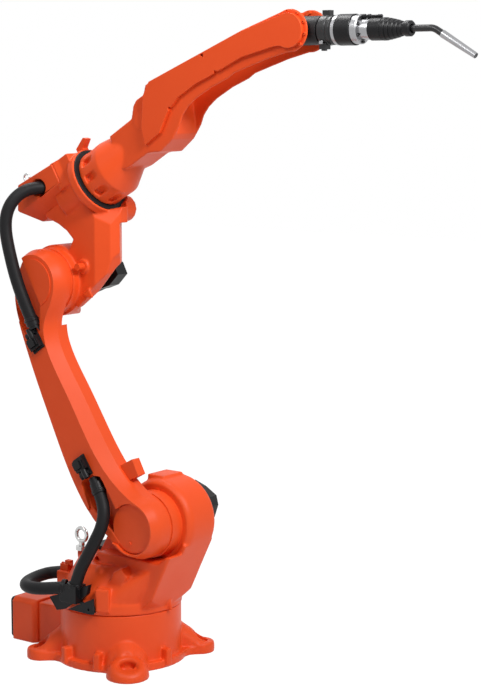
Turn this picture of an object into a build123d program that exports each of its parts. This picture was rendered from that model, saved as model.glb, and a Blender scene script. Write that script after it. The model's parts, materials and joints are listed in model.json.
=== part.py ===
from build123d import *
from math import cos, sin, radians, tan, pi, sqrt
import os

# Industrial robot arm for arc welding, six hinges, modelled in its photographed pose.
# +Z up, +X the way the arm reaches, origin on the floor under the waist axis. Millimetres.

# Joint layout
SHOULDER_X = 165
SHOULDER_Z = 432
ARM_LENGTH = 775
ARM_LEAN = 28.1
ELBOW_RISE = 190
FOREARM_LENGTH = 1092
FOREARM_PITCH = 30.26

# Fits
RUN_GAP = 0.3

# Base
BOLT_SPACING = 335
BOLT_HOLE = 18
COUNTERBORE = 46
COUNTERBORE_FLOOR = 22
FOOT_RADIUS = 44
FOOT_HEIGHT = 32
FOOT_TOP_RADIUS = 42.5
RIDGE_TOP = 94
RIDGE_HALF = 40
RIDGE_LENGTH = 117
RIDGE_FALL = 36
PLAN_FILLET = 34
BASE_RADIUS = 180
BASE_TOP = 166
BASE_FLANGE_RADIUS = 196
BASE_FLANGE = 24
LUG_WIDTH = 22
LUG_REACH = 207
LUG_FLOOR = 8
LUG_TOP = 58
LUG_TURNS = (-105, -70, -6)
BOX_BACK = 363
BOX_FRONT = 268
BOX_HALF = 89
BOX_TOP = 136
BOX_FLOOR = 2
BOX_BEVEL = 12
NECK_HALF = 74
NECK_DROP = 6
PANEL = 8
PANEL_MARGIN = 4

# Turret
TURRET_RADIUS = 183
TURRET_SKIRT = 30
SKIRT_FALL = 30
FLARE_TOP = 300
SCOOP_RADIUS = 165
SCOOP = 47
DOME_RADIUS = 125
DOME_NEAR = 36
DOME_FAR = 92
FRONT_LEAN = 26
REAR_LEAN = 31
BODY_NEAR = 95
BODY_TOP = 330
BODY_FRONT_TOP = 352
BODY_STEPS = ((250, BODY_FRONT_TOP), (225, BODY_TOP), (-10, BODY_TOP), (-73, 232))
DOME_LUG = (64, 30)
DOME_LUG_BACK = 21
DOME_LUG_RISE = 8
SLOT = ((-56, 250), (-14, 320), (0, 306), (-42, 250))
SLOT_DEPTH = 30
NUB = (26, 288)
NUB_RADIUS = 11
GUSSET = ((54, 237), (88, 236), (136, 284), (112, 302), (92, 292))
GUSSET_DEPTH = 23
FIN = ((170, 168), (198, 168), (190, 208), (170, 208))
FIN_WIDTH = 10
RIM_RADIUS = 112
RIM_DEPTH = 6
PAD_TURN = -66
PAD_WIDTH = 42
PAD_BACK = 150
PAD_FRONT = 190
PAD_FLOOR = 178
PAD_TOP = 246
MOTOR_RADIUS = 90
MOTOR_LENGTH = 44
MOTOR_ROUND = 12
REDUCER_STEP = 4
REAR_BACK = -178
REAR_FRONT = -20
REAR_HALF = 88
REAR_TOP = 246
REAR_STEP = (53, 40, 34)
EYE_POST = 13
EYE_POST_TOP = 310
EYE_X = -118
EYE_DEPTH = 40
EYE_RING = 20
EYE_WIRE = 10
SMALL_RING = 10.5
SMALL_WIRE = 4
WAIST_MOTOR = (-100, 62, 80, 66)
PLATE = 4
PLATE_DEPTH = 188
PLATE_HOLE = 4
LOWER_PLATE = ((-39, 174), (61, 221), (61, 174), (48, 172))
LOWER_PLATE_HOLE = (42, 186)
SPACER = (22, 14)
SPACER_PLACE = (47, 184)
UPPER_PLATE = ((-111, 200), (-60, 218), (-45, 224), (-45, 202), (-7, 202), (-49, 173), (-82, 164))
UPPER_PLATE_HOLE = (-62, 196)
SHELF = 5
SHELF_PLAN = ((14, -140), (14, -PLATE_DEPTH), (-60, -PLATE_DEPTH), (-60, -140))
CLAMP = (-20, -188)
CLAMP_SIZE = 50
CLAMP_ROUND = 16
CLAMP_FLOOR = 202
CLAMP_TOP = 245
CLAMP_EAR = ((0, 208), (0, 243), (10, 246), (40, 259), (33, 229), (12, 212))
LOOP_ROUTE = ((-43, -191, 240), (-80, -210, 238), (-122, -232, 236), (-168, -230, 235), (-208, -204, 235),
              (-232, -162, 235), (-236, -112, 235), (-220, -70, 235), (REAR_BACK + 4, -50, 235))

# Lower arm
ARM_NEAR = 150
ARM_BEVEL = 35
ARM_FAR = 73
BEVEL_WIDTH = 26
END_BEVEL = 14
SHOULDER_END = 92
ELBOW_END = 97
ELBOW_FACE = 95
COVER_RADIUS = 70
COVER_RECESS = 16
COVER_PLATE = 6
POCKET_DEPTH = 44
CHANNEL_EDGE = -4
BLOCK = (62, 68, 38)
BLOCK_ACROSS = -70
LOWER_BLOCK = 231
UPPER_BLOCK = 157
ARM_TURNS = (40, -38, 158, 212)
HOSE_POCKET = ((-30, 175), (-20, 60), (-60, -30), (-150, 40), (-150, 88), (-114, 112), (-110, 186), (-72, 199))
POCKET_ROUND = 12
CHANNEL = ((-36, -124), (CHANNEL_EDGE, -69), (CHANNEL_EDGE, 125), (-90, 125), (-92, 0), (-106, -75), (-98, -124))
END_SETBACK = 42
STOP_BLOCK = (56, 50, 32)
STOP_BLOCK_PLACE = (40, 159)
ELBOW_PLATE = 3
LOWER_END = (38, -142, 537)
LOWER_ROUTE = ((62, -149, 504), (78, -160, 466), (76, -172, 426), (58, -181, 386), (33, -186, 340),
               (5, -189, 292), (-11, -190, CLAMP_TOP - 3))
LOWER_FITTING = 30
UPPER_FITTING = 24
FITTING_STEP = 2

# Elbow
REDUCER_RADIUS = 92
ELBOW_RING = 97
ELBOW_RIM = 106
RING_FACE = 78
ELBOW_NEAR = 51
ELBOW_FAR = 72
BEND_DEPTH = 30
FRONT_X = 13
ROLL_LIP = 103
LIP_START = 240
ROLL_SEAM = 266
HOUSING_HALF = 85
HOUSING_FRONT = 192
FLANGE_HALF = 75
BOSS_RADIUS = 38
ELBOW_MOTOR = (62, 90)
EYE_SEAT = (55, 102, 62)
HOUSING_BACK = -60
HOUSING_SECTION = ((-HOUSING_HALF, 112), (-HOUSING_HALF, 36), (-38, -13), (38, -13), (HOUSING_HALF, 36),
                   (HOUSING_HALF, 112))
HOUSING_OUTLINE = ((40, 109), (0, 45), (9, 31), (34, -14), (HOUSING_FRONT, -14), (HOUSING_FRONT, 97))
MOUTH_GAP = 6
MOUTH_DEPTH = 60
LEAN_POINTS = ((225, 103, 55), (262, 60, BEND_DEPTH - 4), (292, 77, -3))
COLUMN_OUTLINE = ((125, 72), (115, 105), (96, 138), (64, 176), (64, 240), (LIP_START - 10, 240),
                  (LIP_START - 10, 120), (ROLL_SEAM - 4, 96), (300, 84), (320, 20), (211, -37), (178, -69),
                  (109, -88), (82, -101), (36, -109), (0, 0))
COLUMN_BENDS = ((155, -ELBOW_NEAR), (198, -BEND_DEPTH), (200 + FRONT_X, 0), (200 + FRONT_X, BEND_DEPTH),
                (170, ELBOW_FAR))
COLUMN_BACK = 200
COLUMN_HEIGHT = 600
TAB = ((78, -85), (88, -101), (112, -114), (110, -80))
TAB_DEPTH = 7
PIN_PLACE = (122, -15)
PIN_BOSS = 20
PIN_RADIUS = 10
PIN_LENGTH = 24
STRIP = 22
STRIP_LAP = 12
BLOCK_FLOOR = 16
BLOCK_HEIGHT = 84
CORE_STEP = 4
CORE_START = 50
BOSS_UP = 100
BOSS_DEPTH = 40
HUB_GAP = 10
PLUG = ((20, 20), (80, 62), (112, 48), (129, 14), (95, -20), (56, -34), (20, -30))
PLUG_START = 10
PLUG_DEPTH = 44
STOP_HALF = 12
STOP_LEVER = ((-26, -8), (-26, 14), (14, 30), (22, 22), (-2, 6), (-2, -8))

# Forearm
HUB_RADIUS = 84
HUB_STRAIGHT = 74
NECK_START = 432
NECK_HEIGHT = 54
NECK_WIDTH = 50
NECK_UP = 17
POCKET_HALF = 11
POCKET_START = 22
POCKET_STEP = 36
SEAL = 4
FORK_GAP = 45
FORK_OUTER = 51
SIDE_COVER = 11
FORK_END = 57
OUTLINE_LENGTH = 1092
SEAL_STEP = 6
BOLT_POCKET = ((14, 4), (14, -14), (26, -14), (68, 4))
BODY_LOWER = ((400, -36), (424, -40), (498, -39), (543, -59), (613, -94), (682, -90), (703, -74), (730, -52),
              (748, -30), (800, -8), (874, -2), (988, -26), (1058, -46), (OUTLINE_LENGTH, -FORK_END))
BODY_UPPER = ((955, 84), (614, 128), (590, 128), (570, 108), (540, 109), (522, 100), (498, 72), (400, 70))
FORK_CUT = ((623, -39), (640, -20), (655, 30), (700, 200), (1500, 200), (1500, -200), (700, -200), (690, -60),
            (650, -60))
COVER_END = 46
COVER_LOWER = ((513, -20), (575, -16), (630, 19), (684, 36), (755, 36), (827, 27), (926, 18), (1036, -14))
COVER_UPPER = ((950, 80), (614, 125), (577, 103), (524, 25))
SIDE_PLUG = (530, 48)
SIDE_PLUG_RADIUS = 26
SIDE_PLUG_DEPTH = 3

# Wrist and torch
WRIST_RADIUS = 38
WRIST_HALF = 40
WRIST_BEARING = 30
WRIST_REACH = 72
CLAMP_END = 118
COLLAR_END = 130
ISOLATOR_END = 178
FLANGE_END = 222
SOCKET_END = 238
BOOT_END = 348
TOOL_CLAMP_RADIUS = 40
ISOLATOR_RADIUS = 41
TORCH_FLANGE_RADIUS = 38
SOCKET_RADIUS = 27
BOOT_RADIUS = 28
NECK = 18
NECK_ROUTE = ((BOOT_END, 0), (412, 0), (438, -15))
NECK_BEND = 40
NOZZLE_RADII = (10.5, 8)
NOZZLE_LENGTH = 112
GAS_TUBE_RADIUS = 4
GAS_TUBE_UP = 33
GAS_TUBE_LENGTH = 36
HOSE = 37

shoulder = Vector(SHOULDER_X, 0, SHOULDER_Z)
arm_up = Vector(-sin(radians(ARM_LEAN)), 0, cos(radians(ARM_LEAN)))
arm_across = Vector(cos(radians(ARM_LEAN)), 0, sin(radians(ARM_LEAN)))
elbow = shoulder + arm_up * ARM_LENGTH
reach = Vector(cos(radians(FOREARM_PITCH)), 0, sin(radians(FOREARM_PITCH)))
rise = Vector(-sin(radians(FOREARM_PITCH)), 0, cos(radians(FOREARM_PITCH)))
roll_start = elbow + rise * ELBOW_RISE
wrist = roll_start + reach * FOREARM_LENGTH
near = Vector(0, -1, 0)

os.makedirs("parts", exist_ok=True)


# A plane square to Y, at a depth towards the near side, in the lower arm's own directions
def arm_plane(depth):
    return Plane(origin=shoulder + near * depth, x_dir=arm_across, z_dir=near)


# The same along the forearm, measured from the elbow axis
def elbow_plane(depth):
    return Plane(origin=elbow + near * depth, x_dir=reach, z_dir=near)


def forearm_plane(depth):
    return Plane(origin=roll_start + near * depth, x_dir=reach, z_dir=near)


def elbow_point(along, up, depth):
    return elbow + reach * along + rise * up + near * depth


def roll_point(along, up, depth):
    return roll_start + reach * along + rise * up + near * depth


# Square to the roll axis, at a distance along it
def roll_plane(along):
    return Plane(origin=roll_start + reach * along, x_dir=(0, 1, 0), z_dir=reach)


def upright_plane(depth):
    return Plane(origin=near * depth, x_dir=(1, 0, 0), z_dir=near)


# Square to the torch axis, at a distance in front of the wrist axis
def torch_plane(ahead):
    return Plane(origin=wrist + Vector(ahead, 0, 0), x_dir=(0, 1, 0), z_dir=(1, 0, 0))


def save(piece, name):
    piece.part.label = name
    export_step(piece.part, "parts/" + name + ".step")


# A hose follows straight runs joined by tangent arcs, each as large as its runs allow
def hose_tube(points, diameter):
    corners = []
    for before, here, after in zip(points, points[1:], points[2:]):
        first = Vector(*here) - Vector(*before)
        second = Vector(*after) - Vector(*here)
        half_turn = radians(first.get_angle(second)) / 2
        corners.append(0.45 * min(first.length, second.length) / tan(half_turn))
    with BuildLine() as route:
        FilletPolyline(*points, radius=corners)
    with BuildPart() as tube:
        with BuildSketch(Plane(origin=route.line @ 0, z_dir=route.line % 0)):
            Circle(diameter / 2)
        sweep(path=route.line)
    length = sum(edge.length for edge in route.edges())
    area = pi * diameter ** 2 / 4
    print("hose length", round(length), "radii", [round(radius) for radius in corners],
          "volume ratio", round(tube.part.volume / (area * length), 3))
    return tube


# Base: round drum on four bolted feet
half_spacing = BOLT_SPACING / 2
feet = [(x * half_spacing, y * half_spacing) for x in (-1, 1) for y in (-1, 1)]

foot_reach = BOLT_SPACING / sqrt(2)

# Half-round ridge that runs down from the drum to one foot
with BuildPart() as foot_ridge:
    fall = radians(RIDGE_FALL)
    ridge_start = (BASE_RADIUS, 0, RIDGE_TOP)
    with BuildSketch(Plane(origin=ridge_start, x_dir=(0, 1, 0), z_dir=(cos(fall), 0, -sin(fall)))):
        with Locations((0, -FOOT_RADIUS)):
            Circle(FOOT_RADIUS)
    extrude(amount=foot_reach, both=True)
    with BuildSketch():
        with Locations((foot_reach, 0)):
            Circle(RIDGE_HALF)
            Rectangle(RIDGE_LENGTH, 2 * RIDGE_HALF, align=(Align.MAX, Align.CENTER))
    extrude(amount=BASE_TOP, mode=Mode.INTERSECT)

with BuildPart() as base_casting:
    with BuildSketch() as foot_plan:
        Circle(BASE_FLANGE_RADIUS)
        with PolarLocations(foot_reach - BASE_RADIUS / 2, 4, start_angle=45):
            SlotCenterToCenter(BASE_RADIUS, 2 * FOOT_RADIUS)
        inner = [corner for corner in foot_plan.vertices() if corner.center().length < BASE_FLANGE_RADIUS + 1]
        fillet(inner, PLAN_FILLET)
    extrude(amount=BASE_FLANGE)
    with BuildSketch(Plane.XY.offset(BASE_FLANGE)):
        with Locations(*feet):
            Circle(FOOT_TOP_RADIUS)
    extrude(amount=FOOT_HEIGHT - BASE_FLANGE)
    with BuildSketch(Plane.XY.offset(BASE_FLANGE)):
        Circle(BASE_RADIUS)
    extrude(amount=BASE_TOP - BASE_FLANGE)
    with PolarLocations(0, 4, start_angle=45):
        add(foot_ridge.part)
    # machined lugs on the rim of the flange
    with BuildSketch(Plane.XY.offset(LUG_FLOOR)):
        for turn in LUG_TURNS:
            with PolarLocations(LUG_REACH, 1, start_angle=turn):
                Rectangle(LUG_REACH - BASE_RADIUS + LUG_WIDTH, LUG_WIDTH, align=(Align.MAX, Align.CENTER))
    extrude(amount=LUG_TOP - LUG_FLOOR)
    # neck that joins the connector box
    with BuildSketch(Plane.XY.offset(BOX_FLOOR)):
        with Locations((-BOX_FRONT, 0)):
            Rectangle(BOX_FRONT - BASE_RADIUS / 2, 2 * NECK_HALF, align=(Align.MIN, Align.CENTER))
    extrude(amount=BOX_TOP - BOX_FLOOR - NECK_DROP)
    with BuildSketch(Plane.XY.offset(COUNTERBORE_FLOOR)):
        with Locations(*feet):
            Circle(COUNTERBORE / 2)
    extrude(amount=BASE_TOP, mode=Mode.SUBTRACT)
    with Locations(*feet):
        Hole(BOLT_HOLE / 2, depth=2 * FOOT_HEIGHT)
save(base_casting, "base_casting")

with BuildPart() as connector_box:
    with BuildSketch(Plane.XY.offset(BOX_FLOOR)):
        with Locations((-(BOX_BACK + BOX_FRONT) / 2, 0)):
            Rectangle(BOX_BACK - BOX_FRONT, 2 * BOX_HALF)
    extrude(amount=BOX_TOP - BOX_FLOOR)
    top_edges = connector_box.edges().filter_by(Axis.X).group_by(Axis.Z)[-1]
    front_edges = connector_box.edges().filter_by(Axis.Z).group_by(Axis.X)[-1]
    chamfer(top_edges + front_edges, BOX_BEVEL)
save(connector_box, "connector_box")

with BuildPart() as connector_panel:
    with BuildSketch(Plane(origin=(-BOX_BACK, 0, (BOX_TOP + BOX_FLOOR) / 2), x_dir=(0, 1, 0), z_dir=(-1, 0, 0))):
        RectangleRounded(2 * (BOX_HALF - PANEL_MARGIN), BOX_TOP - BOX_FLOOR - 2 * PANEL_MARGIN, BOX_BEVEL)
    extrude(amount=PANEL)
save(connector_panel, "connector_panel")

# Turret: skirt over the base, shoulder dome on the far side of the lower arm
TURRET_FLOOR = BASE_TOP + RUN_GAP
SKIRT_TOP = TURRET_FLOOR + TURRET_SKIRT


def on_dome(angle):
    return (SHOULDER_X + DOME_RADIUS * cos(radians(angle)), SHOULDER_Z + DOME_RADIUS * sin(radians(angle)))


# Point on the leaning front line, which touches the dome, at a height
def front_x(height):
    touch_x, touch_z = on_dome(-FRONT_LEAN)
    return touch_x - (touch_z - height) * tan(radians(FRONT_LEAN))


def rear_x(height):
    touch_x, touch_z = on_dome(180 - REAR_LEAN)
    return touch_x - (touch_z - height) * tan(radians(REAR_LEAN))


with BuildPart() as turret_casting:
    # main body under the shoulder
    with BuildSketch(upright_plane(DOME_NEAR)):
        with BuildLine():
            Polyline(on_dome(-FRONT_LEAN), (front_x(TURRET_FLOOR), TURRET_FLOOR),
                     (rear_x(TURRET_FLOOR), TURRET_FLOOR), on_dome(180 - REAR_LEAN))
            ThreePointArc(on_dome(180 - REAR_LEAN), on_dome(75), on_dome(-FRONT_LEAN))
        make_face()
        # stop lug on top of the dome
        with Locations((SHOULDER_X - DOME_LUG_BACK, SHOULDER_Z + DOME_RADIUS + DOME_LUG_RISE)):
            Rectangle(*DOME_LUG, align=(Align.CENTER, Align.MAX))
    extrude(amount=-(DOME_NEAR + DOME_FAR))
    # lower body, which comes out under the end of the arm
    with BuildSketch(upright_plane(BODY_NEAR)):
        with BuildLine():
            Polyline((front_x(TURRET_FLOOR), TURRET_FLOOR), (front_x(BODY_FRONT_TOP), BODY_FRONT_TOP),
                     *BODY_STEPS, (BODY_STEPS[-1][0], TURRET_FLOOR), close=True)
        make_face()
    extrude(amount=-(BODY_NEAR + DOME_FAR / 2))
    # slot, nub and gusset on the near face of the lower body
    with BuildSketch(upright_plane(BODY_NEAR)):
        with BuildLine():
            Polyline(*SLOT, close=True)
        make_face()
    extrude(amount=-SLOT_DEPTH, mode=Mode.SUBTRACT)
    with BuildSketch(upright_plane(BODY_NEAR)):
        with Locations(NUB):
            Circle(NUB_RADIUS)
        with BuildLine():
            Polyline(*GUSSET, close=True)
        make_face()
    extrude(amount=GUSSET_DEPTH)
    # all of it is scooped out to a round foot
    with Locations((0, 0, TURRET_FLOOR)):
        Cone(SCOOP_RADIUS, SCOOP_RADIUS + SHOULDER_Z * tan(radians(SCOOP)), SHOULDER_Z,
             align=(Align.CENTER, Align.CENTER, Align.MIN), mode=Mode.INTERSECT)
    with BuildSketch(Plane.XY.offset(TURRET_FLOOR)):
        Circle(TURRET_RADIUS)
    extrude(amount=TURRET_SKIRT)
    flare = FLARE_TOP - SKIRT_TOP
    with Locations((0, 0, SKIRT_TOP)):
        Cone(TURRET_RADIUS, TURRET_RADIUS - flare * tan(radians(SKIRT_FALL)), flare,
             align=(Align.CENTER, Align.CENTER, Align.MIN))
    # platform at the rear for the waist motor and the post of the lifting eye
    with BuildSketch(Plane.XY.offset(TURRET_FLOOR)):
        with Locations(((REAR_BACK + REAR_FRONT) / 2, 0)):
            Rectangle(REAR_FRONT - REAR_BACK, 2 * REAR_HALF)
    extrude(amount=REAR_TOP - TURRET_FLOOR)
    with BuildSketch(Plane.XY.offset(REAR_TOP)):
        with Locations((REAR_BACK, -REAR_HALF)):
            Rectangle(REAR_STEP[0], REAR_STEP[1], align=(Align.MIN, Align.MIN))
    extrude(amount=REAR_STEP[2])
    with BuildSketch(Plane.XY.offset(REAR_TOP)):
        with Locations((EYE_X, -EYE_DEPTH)):
            Circle(EYE_POST)
    extrude(amount=EYE_POST_TOP - REAR_TOP)
    # flat pad on the skirt
    with BuildSketch(Plane.XY.offset(PAD_FLOOR)):
        with PolarLocations(PAD_FRONT, 1, start_angle=PAD_TURN):
            Rectangle(PAD_FRONT - PAD_BACK, PAD_WIDTH, align=(Align.MAX, Align.CENTER))
    extrude(amount=PAD_TOP - PAD_FLOOR)
    # thin fin at the front of the skirt
    with BuildSketch(Plane.XZ.offset(-FIN_WIDTH / 2)):
        with BuildLine():
            Polyline(*FIN, close=True)
        make_face()
    extrude(amount=FIN_WIDTH)
    # round recess behind the end of the arm
    with BuildSketch(upright_plane(DOME_NEAR)):
        with Locations((SHOULDER_X, SHOULDER_Z)):
            Circle(RIM_RADIUS)
    extrude(amount=-RIM_DEPTH, mode=Mode.SUBTRACT)
save(turret_casting, "turret_casting")

REDUCER_BACK = DOME_NEAR - RIM_DEPTH
with BuildPart() as shoulder_reducer:
    with BuildSketch(upright_plane(REDUCER_BACK)):
        with Locations((SHOULDER_X, SHOULDER_Z)):
            Circle(SHOULDER_END + REDUCER_STEP)
    extrude(amount=ARM_FAR - REDUCER_BACK - RUN_GAP)
save(shoulder_reducer, "shoulder_reducer")

with BuildPart() as shoulder_motor:
    with BuildSketch(upright_plane(-DOME_FAR)):
        with Locations((SHOULDER_X, SHOULDER_Z)):
            RegularPolygon(MOTOR_RADIUS, 16)
    extrude(amount=-MOTOR_LENGTH)
    with BuildSketch(upright_plane(-DOME_FAR - MOTOR_LENGTH)):
        with Locations((SHOULDER_X, SHOULDER_Z)):
            RectangleRounded(MOTOR_RADIUS, MOTOR_RADIUS, MOTOR_ROUND)
    extrude(amount=-MOTOR_LENGTH)
save(shoulder_motor, "shoulder_motor")

with BuildPart() as waist_motor:
    with BuildSketch(Plane.XY.offset(REAR_TOP)):
        with Locations(WAIST_MOTOR[:2]):
            RectangleRounded(WAIST_MOTOR[2], WAIST_MOTOR[2], MOTOR_ROUND)
    extrude(amount=WAIST_MOTOR[3])
    add(turret_casting.part, mode=Mode.SUBTRACT)
save(waist_motor, "waist_motor")


# Lifting eye: ring on a short shank, standing on a seat
def lifting_eye(seat, ring, wire):
    with BuildPart() as eye:
        with BuildSketch(Plane(origin=seat, z_dir=(0, 0, 1))):
            Circle(wire * 1.8)
        extrude(amount=wire * 1.2)
        with BuildSketch(Plane(origin=Vector(*seat) + Vector(0, 0, wire * 1.2), z_dir=(0, 0, 1))):
            Circle(wire * 0.9)
        extrude(amount=wire * 1.2)
        middle = Vector(*seat) + Vector(0, 0, ring + 2.6 * wire)
        with BuildSketch(Plane(origin=middle + Vector(ring, 0, 0), x_dir=(1, 0, 0), z_dir=(0, 0, 1))):
            Circle(wire / 2 + 1)
        revolve(axis=Axis(middle, (0, -1, 0)))
    return eye


turret_lifting_eye = lifting_eye((EYE_X, -EYE_DEPTH, EYE_POST_TOP), EYE_RING, EYE_WIRE)
save(turret_lifting_eye, "turret_lifting_eye")

# Two upright plates on the near side of the turret, and the clamp that holds both hoses
with BuildPart() as hose_clamp:
    with BuildSketch(Plane.XY.offset(CLAMP_FLOOR)):
        with Locations(CLAMP):
            RectangleRounded(CLAMP_SIZE, CLAMP_SIZE, CLAMP_ROUND)
    extrude(amount=CLAMP_TOP - CLAMP_FLOOR)
    # ear on the clamp's right
    with BuildSketch(upright_plane(PLATE_DEPTH)):
        with BuildLine():
            Polyline(*CLAMP_EAR, close=True)
        make_face()
    extrude(amount=PLATE)
    add(turret_casting.part, mode=Mode.SUBTRACT)
save(hose_clamp, "hose_clamp")

with BuildPart() as hose_bracket_lower:
    with BuildSketch(upright_plane(PLATE_DEPTH)):
        with BuildLine():
            Polyline(*LOWER_PLATE, close=True)
        make_face()
        with Locations(LOWER_PLATE_HOLE):
            Circle(PLATE_HOLE, mode=Mode.SUBTRACT)
    extrude(amount=PLATE)
    # spacer back to the skirt
    with BuildSketch(upright_plane(PLATE_DEPTH)):
        with Locations(SPACER_PLACE):
            Rectangle(*SPACER)
    extrude(amount=PLATE_DEPTH - PAD_BACK, dir=(0, 1, 0))
    add(turret_casting.part, mode=Mode.SUBTRACT)
save(hose_bracket_lower, "hose_bracket_lower")

with BuildPart() as hose_bracket_upper:
    with BuildSketch(upright_plane(PLATE_DEPTH)):
        with BuildLine():
            Polyline(*UPPER_PLATE, close=True)
        make_face()
        with Locations(UPPER_PLATE_HOLE):
            Circle(PLATE_HOLE, mode=Mode.SUBTRACT)
    extrude(amount=PLATE)
    # shelf under the clamp, back to the skirt
    with BuildSketch(Plane.XY.offset(CLAMP_FLOOR - SHELF)):
        with BuildLine():
            Polyline(*SHELF_PLAN, close=True)
        make_face()
    extrude(amount=SHELF)
    add(hose_clamp.part, mode=Mode.SUBTRACT)
    add(turret_casting.part, mode=Mode.SUBTRACT)
    add(hose_bracket_lower.part, mode=Mode.SUBTRACT)
save(hose_bracket_upper, "hose_bracket_upper")

loop_tube = hose_tube(LOOP_ROUTE, HOSE)
with BuildPart() as hose_loop:
    add(loop_tube.part)
    add(hose_clamp.part, mode=Mode.SUBTRACT)
    add(turret_casting.part, mode=Mode.SUBTRACT)
    add(hose_bracket_upper.part, mode=Mode.SUBTRACT)
save(hose_loop, "hose_loop")

# Lower arm: one casting with a bevelled near side, recesses for its hose and a round cover


# Outline across and along the arm, from the shoulder circle to the elbow circle
def arm_outline(shoulder_radius, elbow_radius, front_inset, back_inset):
    def on_circle(radius, centre, angle):
        return (radius * cos(radians(angle)), centre + radius * sin(radians(angle)))

    def along(angle):
        return (cos(radians(angle)), sin(radians(angle)))

    front_low = on_circle(shoulder_radius, 0, ARM_TURNS[0])
    front_high = on_circle(elbow_radius, ARM_LENGTH, ARM_TURNS[1])
    back_high = on_circle(elbow_radius, ARM_LENGTH, ARM_TURNS[2])
    back_low = on_circle(shoulder_radius, 0, ARM_TURNS[3])
    front = Spline(front_low, (15 - front_inset, 0.25 * ARM_LENGTH), (-9 - front_inset, 0.56 * ARM_LENGTH),
                   (8 - front_inset, 0.84 * ARM_LENGTH), front_high, tangents=(along(130), along(52)))
    ThreePointArc(front_high, on_circle(elbow_radius, ARM_LENGTH, 60), back_high)
    Spline(back_high, (back_inset - 118, 0.81 * ARM_LENGTH), (back_inset - 136, 0.47 * ARM_LENGTH),
           (back_inset - 122, 0.11 * ARM_LENGTH), back_low, tangents=(along(248), along(302)))
    ThreePointArc(back_low, on_circle(shoulder_radius, 0, -54), front_low)


with BuildPart() as lower_arm_casting:
    with BuildSketch(arm_plane(ARM_FAR)):
        with BuildLine():
            arm_outline(SHOULDER_END, ELBOW_END, 0, 0)
        make_face()
    extrude(amount=ARM_NEAR - ARM_BEVEL - ARM_FAR)
    with BuildSketch(arm_plane(ARM_NEAR - ARM_BEVEL)):
        with BuildLine():
            arm_outline(SHOULDER_END, ELBOW_END, 0, 0)
        make_face()
    with BuildSketch(arm_plane(ARM_NEAR)):
        with BuildLine():
            arm_outline(SHOULDER_END - END_BEVEL, ELBOW_END - END_BEVEL, BEVEL_WIDTH, 3)
        make_face()
    loft(ruled=True)
    # the elbow end is set back for the ring behind it
    with BuildSketch(arm_plane(ELBOW_FACE)):
        with Locations((0, ARM_LENGTH)):
            Circle(ELBOW_END + END_SETBACK)
    extrude(amount=-(ELBOW_FACE - ARM_FAR + 1), mode=Mode.SUBTRACT)
    # round recess for the shoulder cover
    with BuildSketch(arm_plane(ARM_NEAR)):
        Circle(SHOULDER_END - END_BEVEL - 4)
    extrude(amount=-COVER_RECESS, mode=Mode.SUBTRACT)
    # pocket above the shoulder where the hose comes out, and the open channel beside the elbow
    with BuildSketch(arm_plane(ARM_NEAR)):
        with BuildLine():
            Polyline(*HOSE_POCKET, close=True)
        make_face()
        fillet([corner for corner in vertices() if corner.Y > 0 and corner.X > HOSE_POCKET[3][0]], POCKET_ROUND)
    extrude(amount=-POCKET_DEPTH, mode=Mode.SUBTRACT)
    with BuildSketch(arm_plane(ARM_NEAR)):
        with BuildLine():
            Polyline(*[(across, ARM_LENGTH + along) for across, along in CHANNEL], close=True)
        make_face()
    extrude(amount=-POCKET_DEPTH, mode=Mode.SUBTRACT)
save(lower_arm_casting, "lower_arm_casting")

with BuildPart() as shoulder_cover:
    with BuildSketch(arm_plane(ARM_NEAR - COVER_RECESS)):
        Circle(COVER_RADIUS)
    extrude(amount=COVER_PLATE)
save(shoulder_cover, "shoulder_cover")

connectors = {"lower_hose_connector": LOWER_BLOCK, "upper_hose_connector": ARM_LENGTH - UPPER_BLOCK}
blocks = {}
for name, along_arm in connectors.items():
    with BuildPart() as block:
        with BuildSketch(arm_plane(ARM_NEAR)):
            with Locations((BLOCK_ACROSS, along_arm)):
                Rectangle(BLOCK[0], BLOCK[1])
        extrude(amount=BLOCK[2])
    save(block, name)
    blocks[name] = block.part

with BuildPart() as arm_stop_block:
    with BuildSketch(arm_plane(ARM_FAR + 2)):
        with Locations(STOP_BLOCK_PLACE):
            Rectangle(STOP_BLOCK[0], STOP_BLOCK[1])
    extrude(amount=STOP_BLOCK[2])
    add(lower_arm_casting.part, mode=Mode.SUBTRACT)
save(arm_stop_block, "arm_stop_block")


# Points of the upper hose, measured from the elbow axis so that they follow it
def from_elbow(x, y, z):
    place = elbow + Vector(x, y, z)
    return (place.X, place.Y, place.Z)


hose_mouth = from_elbow(-22, -66, 274)
upper_route = [hose_mouth, from_elbow(-43, -100, 274), from_elbow(-62, -131, 259), from_elbow(-77, -155, 231),
               from_elbow(-85, -168, 194), from_elbow(-84, -172, 148), from_elbow(-68, -172, 84),
               from_elbow(-46, -172, 16), from_elbow(-21, -166, -52)]
upper_end = from_elbow(4.5, -154, -119)
with BuildPart() as lower_hose_fitting:
    with BuildSketch(Plane(origin=LOWER_END, z_dir=Vector(*LOWER_END) - Vector(*LOWER_ROUTE[0]))):
        Circle(HOSE / 2 - FITTING_STEP)
    extrude(amount=LOWER_FITTING)
    add(blocks["lower_hose_connector"], mode=Mode.SUBTRACT)
    add(lower_arm_casting.part, mode=Mode.SUBTRACT)
save(lower_hose_fitting, "lower_hose_fitting")

with BuildPart() as upper_hose_fitting:
    with BuildSketch(Plane(origin=upper_end, z_dir=Vector(*upper_end) - Vector(*upper_route[-1]))):
        Circle(HOSE / 2 - FITTING_STEP)
    extrude(amount=UPPER_FITTING)
    add(blocks["upper_hose_connector"], mode=Mode.SUBTRACT)
    add(lower_arm_casting.part, mode=Mode.SUBTRACT)
save(upper_hose_fitting, "upper_hose_fitting")

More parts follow.
